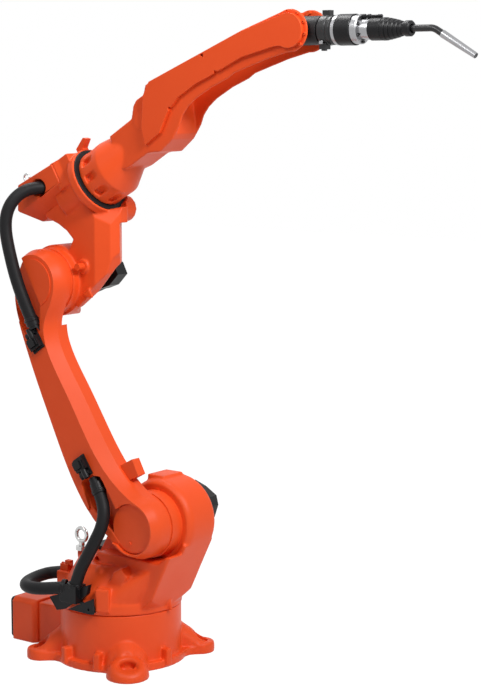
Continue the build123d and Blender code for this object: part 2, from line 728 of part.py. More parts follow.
riser_tube = hose_tube((LOWER_END,) + LOWER_ROUTE, HOSE)
with BuildPart() as lower_hose:
    add(riser_tube.part)
    add(hose_clamp.part, mode=Mode.SUBTRACT)
save(lower_hose, "lower_hose")

upper_hose = hose_tube(upper_route + [upper_end], HOSE)
save(upper_hose, "upper_hose")

# half-round plate on the elbow end, in front of the hose channel
with BuildPart() as elbow_cover:
    with BuildSketch(arm_plane(ARM_NEAR)):
        with Locations((0, ARM_LENGTH)):
            Circle(ELBOW_END - END_BEVEL - POCKET_ROUND)
        with Locations((CHANNEL_EDGE + 4, ARM_LENGTH)):
            Rectangle(2 * ELBOW_END, 2 * ELBOW_END, align=(Align.MIN, Align.CENTER), mode=Mode.INTERSECT)
    extrude(amount=ELBOW_PLATE)
save(elbow_cover, "elbow_cover")

# Elbow: ring on the joint, upright column and barrel round the roll axis
with BuildPart() as elbow_reducer:
    with BuildSketch(elbow_plane(RING_FACE)):
        Circle(REDUCER_RADIUS)
    extrude(amount=ELBOW_FACE - RING_FACE - RUN_GAP)
save(elbow_reducer, "elbow_reducer")

with BuildPart() as roll_motor_housing:
    # bevelled section along the roll axis, cut to the slanting outline seen from the near side
    with BuildSketch(roll_plane(HOUSING_BACK)):
        with BuildLine():
            Polyline(*HOUSING_SECTION, close=True)
        make_face()
    extrude(amount=HOUSING_FRONT - HOUSING_BACK)
    with BuildSketch(forearm_plane(HOUSING_HALF)):
        with BuildLine():
            Polyline(*HOUSING_OUTLINE, close=True)
        make_face()
    extrude(amount=-2 * HOUSING_HALF, mode=Mode.INTERSECT)
    # the hose goes in through a round hole in the near face
    with BuildSketch(Plane(origin=hose_mouth, z_dir=Vector(*upper_route[1]) - Vector(*hose_mouth))):
        Circle(HOSE / 2 + MOUTH_GAP)
    extrude(amount=MOUTH_DEPTH, mode=Mode.SUBTRACT)
save(roll_motor_housing, "roll_motor_housing")

# The front of the column leans back above this plane
lean_a, lean_b, lean_c = [elbow_point(*place) for place in LEAN_POINTS]
lean = Plane(origin=lean_a, x_dir=lean_b - lean_a, z_dir=(lean_b - lean_a).cross(lean_c - lean_a))

with BuildPart() as elbow_casting:
    # column: side outline, and a plan with two bends in its front
    with BuildSketch(elbow_plane(ELBOW_NEAR)):
        with BuildLine():
            Polyline(*COLUMN_OUTLINE, close=True)
        make_face()
    extrude(amount=-(ELBOW_NEAR + ELBOW_FAR))
    with BuildSketch(Plane(origin=elbow - Vector(0, 0, COLUMN_BACK), z_dir=(0, 0, 1))):
        with BuildLine():
            Polyline((-COLUMN_BACK, -ELBOW_NEAR), *COLUMN_BENDS, (-COLUMN_BACK, ELBOW_FAR), close=True)
        make_face()
    extrude(amount=COLUMN_HEIGHT, mode=Mode.INTERSECT)
    split(bisect_by=lean, keep=Keep.BOTTOM)
    with BuildSketch(elbow_plane(ELBOW_NEAR)):
        Circle(ELBOW_RIM)
    extrude(amount=-(ELBOW_NEAR + ELBOW_FAR))
    with BuildSketch(elbow_plane(ELBOW_NEAR)):
        Circle(ELBOW_RING)
    extrude(amount=RING_FACE - ELBOW_NEAR)
    # tab below the ring and boss of the stop pin
    with BuildSketch(elbow_plane(ELBOW_NEAR)):
        with BuildLine():
            Polyline(*TAB, close=True)
        make_face()
        with Locations(PIN_PLACE):
            Circle(PIN_BOSS)
    extrude(amount=TAB_DEPTH)
    # flat-sided block in front of the motor housing, with a bevelled strip
    with BuildSketch(Plane(origin=roll_start + rise * BLOCK_FLOOR, x_dir=reach, z_dir=rise)):
        with BuildLine():
            block_half = HOUSING_HALF - 1
            Polyline((HOUSING_FRONT - STRIP_LAP, -block_half), (HOUSING_FRONT, -block_half),
                     (HOUSING_FRONT + STRIP, -FLANGE_HALF), (LIP_START + STRIP_LAP, -FLANGE_HALF),
                     (LIP_START + STRIP_LAP, FLANGE_HALF), (HOUSING_FRONT + STRIP, FLANGE_HALF),
                     (HOUSING_FRONT, block_half), (HOUSING_FRONT - STRIP_LAP, block_half), close=True)
        make_face()
    extrude(amount=BLOCK_HEIGHT)
    # core, barrel and lip round the roll axis
    with BuildSketch(roll_plane(HOUSING_FRONT - CORE_START)):
        Circle(FLANGE_HALF - CORE_STEP)
    extrude(amount=ROLL_SEAM - HOUSING_FRONT + CORE_START)
    with BuildSketch(roll_plane(LIP_START)):
        Circle(ROLL_LIP)
    extrude(amount=ROLL_SEAM - LIP_START)
    # round boss on the far side, kept clear of the turning hub
    with BuildSketch(elbow_plane(-BOSS_DEPTH)):
        with Locations((LIP_START + STRIP_LAP, BOSS_UP)):
            Circle(BOSS_RADIUS)
    extrude(amount=-BOSS_DEPTH)
    with BuildSketch(roll_plane(ROLL_SEAM)):
        Circle(HUB_RADIUS + HUB_GAP)
    extrude(amount=2 * ROLL_SEAM, mode=Mode.SUBTRACT)
    add(roll_motor_housing.part, mode=Mode.SUBTRACT)
    # the hose passage stays open behind the housing's mouth
    with BuildSketch(Plane(origin=hose_mouth, z_dir=Vector(*upper_route[1]) - Vector(*hose_mouth))):
        Circle(HOSE / 2 + MOUTH_GAP)
    extrude(amount=MOUTH_DEPTH, mode=Mode.SUBTRACT)
save(elbow_casting, "elbow_casting")

with BuildPart() as elbow_motor:
    with BuildSketch(elbow_plane(-ELBOW_FAR)):
        RegularPolygon(ELBOW_MOTOR[0], 16)
    extrude(amount=-ELBOW_MOTOR[1])
save(elbow_motor, "elbow_motor")

with BuildPart() as elbow_motor_plug:
    with BuildSketch(Plane(origin=elbow - near * (ELBOW_FAR + PLUG_START), x_dir=(1, 0, 0), z_dir=near)):
        with BuildLine():
            Polyline(*PLUG, close=True)
        make_face()
    extrude(amount=-PLUG_DEPTH)
    add(elbow_motor.part, mode=Mode.SUBTRACT)
save(elbow_motor_plug, "elbow_motor_plug")

eye_whole = lifting_eye(tuple(roll_point(*EYE_SEAT)), SMALL_RING, SMALL_WIRE)
with BuildPart() as elbow_lifting_eye:
    add(eye_whole.part)
    add(roll_motor_housing.part, mode=Mode.SUBTRACT)
save(elbow_lifting_eye, "elbow_lifting_eye")

with BuildPart() as elbow_stop_pin:
    with BuildSketch(elbow_plane(ELBOW_NEAR + TAB_DEPTH)):
        with Locations(PIN_PLACE):
            Circle(PIN_RADIUS)
    extrude(amount=PIN_LENGTH)
save(elbow_stop_pin, "elbow_stop_pin")

# lever-shaped stop over the seam
with BuildPart() as roll_stop:
    with BuildSketch(forearm_plane(STOP_HALF)):
        with BuildLine():
            Polyline(*[(ROLL_SEAM + along, ROLL_LIP + up) for along, up in STOP_LEVER], close=True)
        make_face()
    extrude(amount=-2 * STOP_HALF)
    add(elbow_casting.part, mode=Mode.SUBTRACT)
save(roll_stop, "roll_stop")

# Forearm: hub on the roll axis, neck and fork
SEAM_FACE = ROLL_SEAM + RUN_GAP
with BuildPart() as roll_seal:
    with BuildSketch(roll_plane(SEAM_FACE)):
        Circle(HUB_RADIUS - SEAL_STEP)
    extrude(amount=SEAL)
save(roll_seal, "roll_seal")

HUB_START = SEAM_FACE + SEAL


# Outline points stretch with the length of the forearm
def along_forearm(*points):
    return [(s * FOREARM_LENGTH / OUTLINE_LENGTH, t) for s, t in points]


with BuildPart() as bolt_pocket:
    with BuildSketch(forearm_plane(POCKET_HALF)):
        with BuildLine():
            Polyline(*[(HUB_START + along, HUB_RADIUS + up) for along, up in BOLT_POCKET], close=True)
        make_face()
    extrude(amount=-2 * POCKET_HALF)

with BuildPart() as forearm_casting:
    with BuildSketch(roll_plane(HUB_START)):
        Circle(HUB_RADIUS)
    extrude(amount=HUB_STRAIGHT)
    # round neck that narrows towards the body
    with BuildSketch(roll_plane(HUB_START + HUB_STRAIGHT)):
        Circle(HUB_RADIUS)
    with BuildSketch(roll_plane(NECK_START * FOREARM_LENGTH / OUTLINE_LENGTH)):
        with Locations((0, NECK_UP)):
            Ellipse(NECK_WIDTH, NECK_HEIGHT)
    loft(ruled=True)
    # wedge-shaped pockets over the flange bolts
    for turn in range(0, 360, POCKET_STEP):
        add(bolt_pocket.part.rotate(Axis(roll_start, reach), POCKET_START + turn), mode=Mode.SUBTRACT)
    with BuildSketch(forearm_plane(FORK_OUTER)):
        with BuildLine():
            Polyline(*along_forearm(*BODY_LOWER), (FOREARM_LENGTH, FORK_END), *along_forearm(*BODY_UPPER),
                     close=True)
        make_face()
        with Locations((FOREARM_LENGTH, 0)):
            Circle(FORK_END)
    extrude(amount=-2 * FORK_OUTER)
    # fork, with a curved root
    with BuildSketch(forearm_plane(FORK_GAP)):
        with BuildLine():
            Polyline(*along_forearm(*FORK_CUT), close=True)
        make_face()
    extrude(amount=-2 * FORK_GAP, mode=Mode.SUBTRACT)
save(forearm_casting, "forearm_casting")

for name, side in (("near_side_cover", 1), ("far_side_cover", -1)):
    with BuildPart() as side_cover:
        with BuildSketch(forearm_plane(side * FORK_OUTER)):
            with BuildLine():
                Polyline(*along_forearm(*COVER_LOWER), (FOREARM_LENGTH, -COVER_END), (FOREARM_LENGTH, COVER_END),
                         *along_forearm(*COVER_UPPER), close=True)
            make_face()
            with Locations((FOREARM_LENGTH, 0)):
                Circle(COVER_END)
        extrude(amount=side * SIDE_COVER)
    save(side_cover, name)
    if side > 0:
        near_cover = side_cover.part

# Wrist housing between the fork arms
with BuildPart() as wrist_housing:
    with BuildSketch(upright_plane(WRIST_HALF)):
        with Locations((wrist.X, wrist.Z)):
            Circle(WRIST_RADIUS)
    extrude(amount=-2 * WRIST_HALF)
    # round bearing faces beside the fork arms
    with BuildSketch(upright_plane(FORK_GAP - RUN_GAP)):
        with Locations((wrist.X, wrist.Z)):
            Circle(WRIST_BEARING)
    extrude(amount=-2 * (FORK_GAP - RUN_GAP))
    with BuildSketch(torch_plane(0)):
        Circle(WRIST_RADIUS)
    extrude(amount=WRIST_REACH)
save(wrist_housing, "wrist_housing")

# Torch pieces along the tool axis: name, start, end, radius
rounds = (("tool_clamp", WRIST_REACH + RUN_GAP, CLAMP_END, TOOL_CLAMP_RADIUS),
          ("tool_collar", CLAMP_END, COLLAR_END, TOOL_CLAMP_RADIUS),
          ("torch_isolator", COLLAR_END, ISOLATOR_END, ISOLATOR_RADIUS),
          ("torch_flange", ISOLATOR_END, FLANGE_END, TORCH_FLANGE_RADIUS),
          ("torch_socket", FLANGE_END, SOCKET_END, SOCKET_RADIUS),
          ("cable_boot", SOCKET_END, BOOT_END, BOOT_RADIUS))
for name, start, end, radius in rounds:
    with BuildPart() as piece:
        with BuildSketch(torch_plane(start)):
            Circle(radius)
        extrude(amount=end - start)
    save(piece, name)

with BuildPart() as torch_neck:
    with BuildLine(Plane(origin=wrist, x_dir=(1, 0, 0), z_dir=near)) as neck_path:
        FilletPolyline(*NECK_ROUTE, radius=NECK_BEND)
    with BuildSketch(torch_plane(BOOT_END)):
        Circle(NECK / 2)
    sweep(path=neck_path.line)
save(torch_neck, "torch_neck")
with BuildPart() as torch_nozzle:
    with BuildSketch(Plane(origin=neck_path.line @ 1, z_dir=neck_path.line % 1)):
        Circle(NOZZLE_RADII[0])
    nozzle_end = (neck_path.line @ 1) + (neck_path.line % 1) * NOZZLE_LENGTH
    with BuildSketch(Plane(origin=nozzle_end, z_dir=neck_path.line % 1)):
        Circle(NOZZLE_RADII[1])
    loft()
save(torch_nozzle, "torch_nozzle")

with BuildPart() as gas_tube:
    with BuildSketch(torch_plane(FLANGE_END)):
        with Locations((0, GAS_TUBE_UP)):
            Circle(GAS_TUBE_RADIUS)
    extrude(amount=GAS_TUBE_LENGTH)
save(gas_tube, "gas_tube")

# round plate that comes out from under the near cover
with BuildPart() as side_plug:
    with BuildSketch(forearm_plane(FORK_OUTER)):
        with Locations(*along_forearm(SIDE_PLUG)):
            Circle(SIDE_PLUG_RADIUS)
    extrude(amount=SIDE_PLUG_DEPTH)
    add(near_cover, mode=Mode.SUBTRACT)
save(side_plug, "side_plug")
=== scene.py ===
import json
import math

import bmesh
import bpy
from mathutils import Matrix, Vector


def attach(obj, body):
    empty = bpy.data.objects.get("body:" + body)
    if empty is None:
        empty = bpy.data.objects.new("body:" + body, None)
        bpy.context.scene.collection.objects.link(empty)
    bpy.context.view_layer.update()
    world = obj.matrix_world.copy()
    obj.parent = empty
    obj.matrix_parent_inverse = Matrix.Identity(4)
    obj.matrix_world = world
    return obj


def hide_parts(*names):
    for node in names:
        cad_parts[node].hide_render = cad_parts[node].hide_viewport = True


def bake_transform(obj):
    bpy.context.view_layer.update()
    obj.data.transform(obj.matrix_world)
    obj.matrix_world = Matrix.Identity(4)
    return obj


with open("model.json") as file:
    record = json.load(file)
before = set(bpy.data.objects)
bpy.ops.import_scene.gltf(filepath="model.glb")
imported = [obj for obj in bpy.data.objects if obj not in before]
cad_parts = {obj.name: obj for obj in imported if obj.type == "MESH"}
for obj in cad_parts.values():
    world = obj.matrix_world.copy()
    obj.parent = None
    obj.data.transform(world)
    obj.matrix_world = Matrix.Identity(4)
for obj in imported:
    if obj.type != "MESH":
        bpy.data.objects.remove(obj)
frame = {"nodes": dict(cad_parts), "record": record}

scene = bpy.context.scene
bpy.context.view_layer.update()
bodyOf = {node: body for body, nodes in frame["record"]["behaviour"]["bodies"].items() for node in nodes}
mm = 0.001
weld = 0.00002  # points nearer than this are one
nodeWeld = 0.00004  # the same, for a CAD node's triangles
sharpAngles = {"casting": 28, "piece": 32, "flat": 0.6}  # degrees at which edges turn sharp, or faces are one
print("frame loaded, nodes", len(frame["nodes"]))

# camera, light and floor
cameraSettings = {
    "place": (3.5445, -4.1049, 1.6766), "looks": (-0.59676, 0.79095, -0.13521),
    "focalMm": 97.69, "sensorMm": 36, "nearest": 0.1, "farthest": 60}
cameraData = bpy.data.cameras.new("photoCamera")
cameraData.lens = cameraSettings["focalMm"]
cameraData.sensor_width = cameraSettings["sensorMm"]
cameraData.clip_start = cameraSettings["nearest"]
cameraData.clip_end = cameraSettings["farthest"]
camera = bpy.data.objects.new("photoCamera", cameraData)
camera.location = cameraSettings["place"]
camera.rotation_mode = "QUATERNION"
camera.rotation_quaternion = Vector(cameraSettings["looks"]).to_track_quat("-Z", "Y")
scene.collection.objects.link(camera)
scene.camera = camera
scene.view_settings.view_transform = "Standard"

lampSettings = {
    "keyLamp": {"place": (3.3, -0.8, 3.7), "aim": (0.1, 0, 0.9), "size": 1.3, "power": 150},
    "fillLamp": {"place": (0.3, -1.7, 3.1), "aim": (0.2, 0, 1.6), "size": 1.0, "power": 22},
    "topLamp": {"place": (-1.0, 0.6, 4.0), "aim": (0, 0, 0.9), "size": 1.2, "power": 46},
}
for lampName, setting in lampSettings.items():
    lampData = bpy.data.lights.new(lampName, "AREA")
    lampData.shape = "DISK"
    lampData.size = setting["size"]
    lampData.energy = setting["power"]
    lamp = bpy.data.objects.new(lampName, lampData)
    lamp.location = setting["place"]
    aim = Vector(setting["aim"]) - lamp.location
    lamp.rotation_euler = aim.to_track_quat("-Z", "Y").to_euler()
    scene.collection.objects.link(lamp)


def seenRays(tree):
    # 1 for what the camera, a mirror or glass sees, 0 for the light on the object
    path = tree.nodes.new("ShaderNodeLightPath")
    first = tree.nodes.new("ShaderNodeMath")
    first.operation = "MAXIMUM"
    tree.links.new(path.outputs["Is Camera Ray"], first.inputs[0])
    tree.links.new(path.outputs["Is Glossy Ray"], first.inputs[1])
    second = tree.nodes.new("ShaderNodeMath")
    second.operation = "MAXIMUM"
    tree.links.new(first.outputs[0], second.inputs[0])
    tree.links.new(path.outputs["Is Transmission Ray"], second.inputs[1])
    return second.outputs[0]


worldSettings = {"light": (1.0, 0.80, 0.74, 1), "strength": 0.13, "seen": (1, 1, 1, 1)}
world = bpy.data.worlds.new("whiteStudio")
world.use_nodes = True
scene.world = world
tree = world.node_tree
tree.nodes.clear()
lightSky = tree.nodes.new("ShaderNodeBackground")
lightSky.inputs["Color"].default_value = worldSettings["light"]
lightSky.inputs["Strength"].default_value = worldSettings["strength"]
seenSky = tree.nodes.new("ShaderNodeBackground")
seenSky.inputs["Color"].default_value = worldSettings["seen"]
mixSky = tree.nodes.new("ShaderNodeMixShader")
worldOut = tree.nodes.new("ShaderNodeOutputWorld")
tree.links.new(seenRays(tree), mixSky.inputs[0])
tree.links.new(lightSky.outputs[0], mixSky.inputs[1])
tree.links.new(seenSky.outputs[0], mixSky.inputs[2])
tree.links.new(mixSky.outputs[0], worldOut.inputs["Surface"])

floorSettings = {"half": 14, "drop": 0.0005, "colour": (0.86, 0.86, 0.87, 1), "glowShare": 0.9, "glow": 1.12}
floorMaterial = bpy.data.materials.new("paleFloor")
floorMaterial.use_nodes = True
tree = floorMaterial.node_tree
tree.nodes.clear()
matte = tree.nodes.new("ShaderNodeBsdfDiffuse")
matte.inputs["Color"].default_value = floorSettings["colour"]
glow = tree.nodes.new("ShaderNodeEmission")
glow.inputs["Strength"].default_value = floorSettings["glow"]
share = tree.nodes.new("ShaderNodeMath")
share.operation = "MULTIPLY"
share.inputs[1].default_value = floorSettings["glowShare"]
tree.links.new(seenRays(tree), share.inputs[0])
floorMix = tree.nodes.new("ShaderNodeMixShader")
floorOut = tree.nodes.new("ShaderNodeOutputMaterial")
tree.links.new(share.outputs[0], floorMix.inputs[0])
tree.links.new(matte.outputs[0], floorMix.inputs[1])
tree.links.new(glow.outputs[0], floorMix.inputs[2])
tree.links.new(floorMix.outputs[0], floorOut.inputs["Surface"])
floorMesh = bpy.data.meshes.new("paleFloor")
bm = bmesh.new()
bmesh.ops.create_grid(bm, x_segments=1, y_segments=1, size=floorSettings["half"])
bmesh.ops.translate(bm, vec=(0, 0, -floorSettings["drop"]), verts=bm.verts)
bm.to_mesh(floorMesh)
bm.free()
floor = bpy.data.objects.new("paleFloor", floorMesh)
floorMesh.materials.append(floorMaterial)
scene.collection.objects.link(floor)
print("camera, light and floor made")


# shared effects
def newGroup(name, inputs, outputs):
    group = bpy.data.node_groups.new(name, "ShaderNodeTree")
    for label, kind, value in inputs:
        socket = group.interface.new_socket(label, in_out="INPUT", socket_type=kind)
        if value is not None:
            socket.default_value = value
    for label, kind in outputs:
        group.interface.new_socket(label, in_out="OUTPUT", socket_type=kind)
    entry = group.nodes.new("NodeGroupInput")
    result = group.nodes.new("NodeGroupOutput")
    return group, entry, result


def noiseNode(tree, scale, detail, rough=0.5):
    noise = tree.nodes.new("ShaderNodeTexNoise")
    noise.inputs["Scale"].default_value = scale
    noise.inputs["Detail"].default_value = detail
    noise.inputs["Roughness"].default_value = rough
    return noise


# fine skin and broad patches of a surface, from two noises
surfaceGrain, entry, result = newGroup(
    "surfaceGrain",
    [("Vector", "NodeSocketVector", None), ("Fine Scale", "NodeSocketFloat", 600.0),
     ("Broad Scale", "NodeSocketFloat", 4.0)],
    [("Fine", "NodeSocketFloat"), ("Broad", "NodeSocketFloat")])
fine = noiseNode(surfaceGrain, 600, 2)
broad = noiseNode(surfaceGrain, 4, 4, 0.6)
for noise, scaleName, outName in ((fine, "Fine Scale", "Fine"), (broad, "Broad Scale", "Broad")):
    surfaceGrain.links.new(entry.outputs["Vector"], noise.inputs["Vector"])
    surfaceGrain.links.new(entry.outputs[scaleName], noise.inputs["Scale"])
    surfaceGrain.links.new(noise.outputs["Fac"], result.inputs[outName])

# painted highlight: a broken line of lighter colour along the edges, where a bevelled normal leaves the true
# one
edgeSettings = {"turned": (0.995, 0.9), "breakScale": 45, "breakDetail": 3, "breaks": (0.38, 0.62)}
paintedEdgeHighlight, entry, result = newGroup(
    "paintedEdgeHighlight",
    [("Vector", "NodeSocketVector", None), ("Width", "NodeSocketFloat", 0.003)],
    [("Mask", "NodeSocketFloat")])
roundNormal = paintedEdgeHighlight.nodes.new("ShaderNodeBevel")
roundNormal.samples = 4
paintedEdgeHighlight.links.new(entry.outputs["Width"], roundNormal.inputs["Radius"])
trueNormal = paintedEdgeHighlight.nodes.new("ShaderNodeNewGeometry")
agree = paintedEdgeHighlight.nodes.new("ShaderNodeVectorMath")
agree.operation = "DOT_PRODUCT"
paintedEdgeHighlight.links.new(roundNormal.outputs["Normal"], agree.inputs[0])
paintedEdgeHighlight.links.new(trueNormal.outputs["Normal"], agree.inputs[1])
turnAway = paintedEdgeHighlight.nodes.new("ShaderNodeMapRange")
turnAway.inputs["From Min"].default_value = edgeSettings["turned"][0]
turnAway.inputs["From Max"].default_value = edgeSettings["turned"][1]
paintedEdgeHighlight.links.new(agree.outputs["Value"], turnAway.inputs["Value"])
breaks = noiseNode(paintedEdgeHighlight, edgeSettings["breakScale"], edgeSettings["breakDetail"])
paintedEdgeHighlight.links.new(entry.outputs["Vector"], breaks.inputs["Vector"])
broken = paintedEdgeHighlight.nodes.new("ShaderNodeMapRange")
broken.inputs["From Min"].default_value = edgeSettings["breaks"][0]
broken.inputs["From Max"].default_value = edgeSettings["breaks"][1]
paintedEdgeHighlight.links.new(breaks.outputs["Fac"], broken.inputs["Value"])
edgeMask = paintedEdgeHighlight.nodes.new("ShaderNodeMath")
edgeMask.operation = "MULTIPLY"
paintedEdgeHighlight.links.new(turnAway.outputs["Result"], edgeMask.inputs[0])
paintedEdgeHighlight.links.new(broken.outputs["Result"], edgeMask.inputs[1])
paintedEdgeHighlight.links.new(edgeMask.outputs["Value"], result.inputs["Mask"])


def groupNode(tree, group, vector):
    node = tree.nodes.new("ShaderNodeGroup")
    node.node_tree = group
    tree.links.new(vector, node.inputs["Vector"])
    return node


def finishMaterial(name, look):
    # one shader with the finish that the dictionary gives
    material = bpy.data.materials.new(name)
    material.use_nodes = True
    tree = material.node_tree
    shader = tree.nodes["Principled BSDF"]
    place = tree.nodes.new("ShaderNodeTexCoord").outputs["Object"]
    grain = groupNode(tree, surfaceGrain, place)
    grain.inputs["Fine Scale"].default_value = look["fineScale"]
    grain.inputs["Broad Scale"].default_value = look["broadScale"]
    blendColour = tree.nodes.new("ShaderNodeMix")
    blendColour.data_type = "RGBA"
    blendColour.inputs[6].default_value = look["colour"]
    blendColour.inputs[7].default_value = look["deepColour"]
    tree.links.new(grain.outputs["Broad"], blendColour.inputs[0])
    # painted highlight: the edges take the lighter edge colour where the mask is, broken by noise
    edge = groupNode(tree, paintedEdgeHighlight, place)
    edge.inputs["Width"].default_value = look["edgeWidth"]
    edgeShare = tree.nodes.new("ShaderNodeMath")
    edgeShare.operation = "MULTIPLY"
    edgeShare.inputs[1].default_value = look["edgeShare"]
    tree.links.new(edge.outputs["Mask"], edgeShare.inputs[0])
    edgeHighlightColour = tree.nodes.new("ShaderNodeMix")
    edgeHighlightColour.data_type = "RGBA"
    edgeHighlightColour.inputs[7].default_value = look["edgeHighlightColour"]
    tree.links.new(edgeShare.outputs["Value"], edgeHighlightColour.inputs[0])
    tree.links.new(blendColour.outputs[2], edgeHighlightColour.inputs[6])
    tree.links.new(edgeHighlightColour.outputs[2], shader.inputs["Base Color"])
    roughness = tree.nodes.new("ShaderNodeMapRange")
    roughness.inputs["From Min"].default_value = 0.3
    roughness.inputs["From Max"].default_value = 0.7
    roughness.inputs["To Min"].default_value = look["rough"][0]
    roughness.inputs["To Max"].default_value = look["rough"][1]
    tree.links.new(grain.outputs["Broad"], roughness.inputs["Value"])
    tree.links.new(roughness.outputs["Result"], shader.inputs["Roughness"])
    bump = tree.nodes.new("ShaderNodeBump")
    bump.inputs["Strength"].default_value = look["bump"]
    bump.inputs["Distance"].default_value = look["bumpDepth"]
    tree.links.new(grain.outputs["Fine"], bump.inputs["Height"])
    tree.links.new(bump.outputs["Normal"], shader.inputs["Normal"])
    shader.inputs["Metallic"].default_value = look.get("metallic", 0)
    shader.inputs["Coat Weight"].default_value = look.get("coat", 0)
    shader.inputs["Coat Roughness"].default_value = look.get("coatRough", 0.1)
    shader.inputs["Specular IOR Level"].default_value = look.get("specular", 0.5)
    return material


# each finish's edge colour is a painted highlight laid along its edges
finishes = {
    "orangePaint": {
        "colour": (0.84, 0.092, 0.016, 1), "deepColour": (0.78, 0.074, 0.012, 1),
        "edgeHighlightColour": (0.93, 0.20, 0.07, 1), "edgeWidth": 0.0025, "edgeShare": 0.5,
        "fineScale": 900, "broadScale": 5, "rough": (0.40, 0.50), "bump": 0.12, "bumpDepth": 0.0006,
        "specular": 0.28},
    "darkPlate": {
        "colour": (0.010, 0.010, 0.011, 1), "deepColour": (0.006, 0.006, 0.007, 1),
        "edgeHighlightColour": (0.16, 0.16, 0.17, 1), "edgeWidth": 0.0012, "edgeShare": 0.5,
        "fineScale": 1200, "broadScale": 12, "rough": (0.45, 0.6), "bump": 0.15, "bumpDepth": 0.0004,
        "specular": 0.2},
    "motorBlack": {
        "colour": (0.014, 0.013, 0.014, 1), "deepColour": (0.008, 0.008, 0.009, 1),
        "edgeHighlightColour": (0.12, 0.12, 0.13, 1), "edgeWidth": 0.002, "edgeShare": 0.4,
        "fineScale": 700, "broadScale": 9, "rough": (0.42, 0.58), "bump": 0.2, "bumpDepth": 0.0006,
        "specular": 0.2},
    "hoseRubber": {
        "colour": (0.013, 0.013, 0.014, 1), "deepColour": (0.008, 0.008, 0.009, 1),
        "edgeHighlightColour": (0.04, 0.04, 0.04, 1), "edgeWidth": 0.001, "edgeShare": 0.1,
        "fineScale": 1500, "broadScale": 14, "rough": (0.42, 0.56), "bump": 0.3, "bumpDepth": 0.0005,
        "specular": 0.16},
    "blackPlastic": {
        "colour": (0.008, 0.008, 0.009, 1), "deepColour": (0.005, 0.005, 0.006, 1),
        "edgeHighlightColour": (0.09, 0.09, 0.10, 1), "edgeWidth": 0.001, "edgeShare": 0.35,
        "fineScale": 1800, "broadScale": 18, "rough": (0.32, 0.46), "bump": 0.2, "bumpDepth": 0.0003,
        "specular": 0.2},
    "brightEye": {
        "colour": (0.62, 0.62, 0.61, 1), "deepColour": (0.48, 0.48, 0.48, 1),
        "edgeHighlightColour": (0.85, 0.85, 0.85, 1), "edgeWidth": 0.0006, "edgeShare": 0.3,
        "fineScale": 900, "broadScale": 30, "rough": (0.14, 0.26), "bump": 0.08, "bumpDepth": 0.0002,
        "metallic": 1},
    "blackMetal": {
        "colour": (0.012, 0.012, 0.013, 1), "deepColour": (0.007, 0.007, 0.008, 1),
        "edgeHighlightColour": (0.22, 0.22, 0.23, 1), "edgeWidth": 0.0012, "edgeShare": 0.5,
        "fineScale": 1400, "broadScale": 22, "rough": (0.28, 0.42), "bump": 0.12, "bumpDepth": 0.0003,
        "specular": 0.4},
    "bareAluminium": {
        "colour": (0.40, 0.40, 0.41, 1), "deepColour": (0.30, 0.30, 0.31, 1),
        "edgeHighlightColour": (0.9, 0.9, 0.9, 1), "edgeWidth": 0.0008, "edgeShare": 0.4,
        "fineScale": 1600, "broadScale": 26, "rough": (0.24, 0.36), "bump": 0.15, "bumpDepth": 0.0002,
        "metallic": 1},
}
materials = {name: finishMaterial(name, look) for name, look in finishes.items()}
# the CAD nodes that stay in view and aren't orange
nodeFinish = {
    "darkPlate": ["connector_panel", "hose_bracket_lower", "hose_bracket_upper"],
    "motorBlack": ["waist_motor", "wrist_housing"],
    "blackPlastic": ["lower_hose_fitting", "upper_hose_fitting", "elbow_motor_plug"],
    "brightEye": ["turret_lifting_eye", "elbow_lifting_eye"],
    "blackMetal": ["torch_neck"],
    "bareAluminium": ["torch_nozzle"],
}
finishOfNode = {node: finish for finish, nodes in nodeFinish.items() for node in nodes}
for node, piece in frame["nodes"].items():
    finish = finishOfNode.get(node, "orangePaint")
    piece.data.materials.clear()
    piece.data.materials.append(materials[finish])
print("materials made", len(materials))


# making pieces
def showPiece(name, mesh, finish, body):
    piece = bpy.data.objects.new(name, mesh)
    mesh.materials.clear()
    mesh.materials.append(materials[finish])
    scene.collection.objects.link(piece)
    if body:
        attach(piece, body)
    return piece


def shadeByAngle(mesh, degrees):
    bm = bmesh.new()
    bm.from_mesh(mesh)
    limit = math.radians(degrees)
    for face in bm.faces:
        face.smooth = True
    for edge in bm.edges:
        edge.smooth = not edge.is_manifold or edge.calc_face_angle(math.pi) < limit
    bm.to_mesh(mesh)
    bm.free()


# a CAD node's loose triangles as one closed mesh with whole flat faces
def mergedNode(node):
    mesh = frame["nodes"][node].data.copy()
    bm = bmesh.new()
    bm.from_mesh(mesh)
    bmesh.ops.remove_doubles(bm, verts=bm.verts, dist=nodeWeld)
    flat = math.radians(sharpAngles["flat"])
    bmesh.ops.dissolve_limit(bm, angle_limit=flat, verts=bm.verts, edges=bm.edges)
    bm.to_mesh(mesh)
    bm.free()
    if mesh.has_custom_normals:
        mesh.normals_split_custom_set([(0, 0, 0)] * len(mesh.loops))
    return mesh


# a frame in millimetres, with x and z as given
def frameMatrix(origin, xDir, zDir):
    zAxis = Vector(zDir).normalized()
    xAxis = Vector(xDir).normalized()
    turn = Matrix((xAxis, zAxis.cross(xAxis), zAxis)).transposed().to_4x4()
    return Matrix.Translation(Vector(origin) * mm) @ turn @ Matrix.Scale(mm, 4)


near = (0, -1, 0)
forearmWay = (0.8638, 0, 0.5039)
# the arm's frame has x across it, y up it and z to the near side
armFrame = frameMatrix((165, 0, 432), (0.8821, 0, 0.4710), near)
# the side frame has x ahead, y up and z to the near side
sideFrame = frameMatrix((0, 0, 0), (1, 0, 0), near)
# the forearm's two start where the roll axis starts: x along it in one, z along it in the other
forearmFrame = frameMatrix((-295.78, 0, 1279.76), forearmWay, near)
rollFrame = frameMatrix((-295.78, 0, 1279.76), near, forearmWay)
# the tool frame has x to the far side, y up and z along the torch
toolFrame = frameMatrix((647.43, 0, 1830.05), (0, 1, 0), (1, 0, 0))
floorFrame = frameMatrix((0, 0, 0), (1, 0, 0), (0, 0, 1))


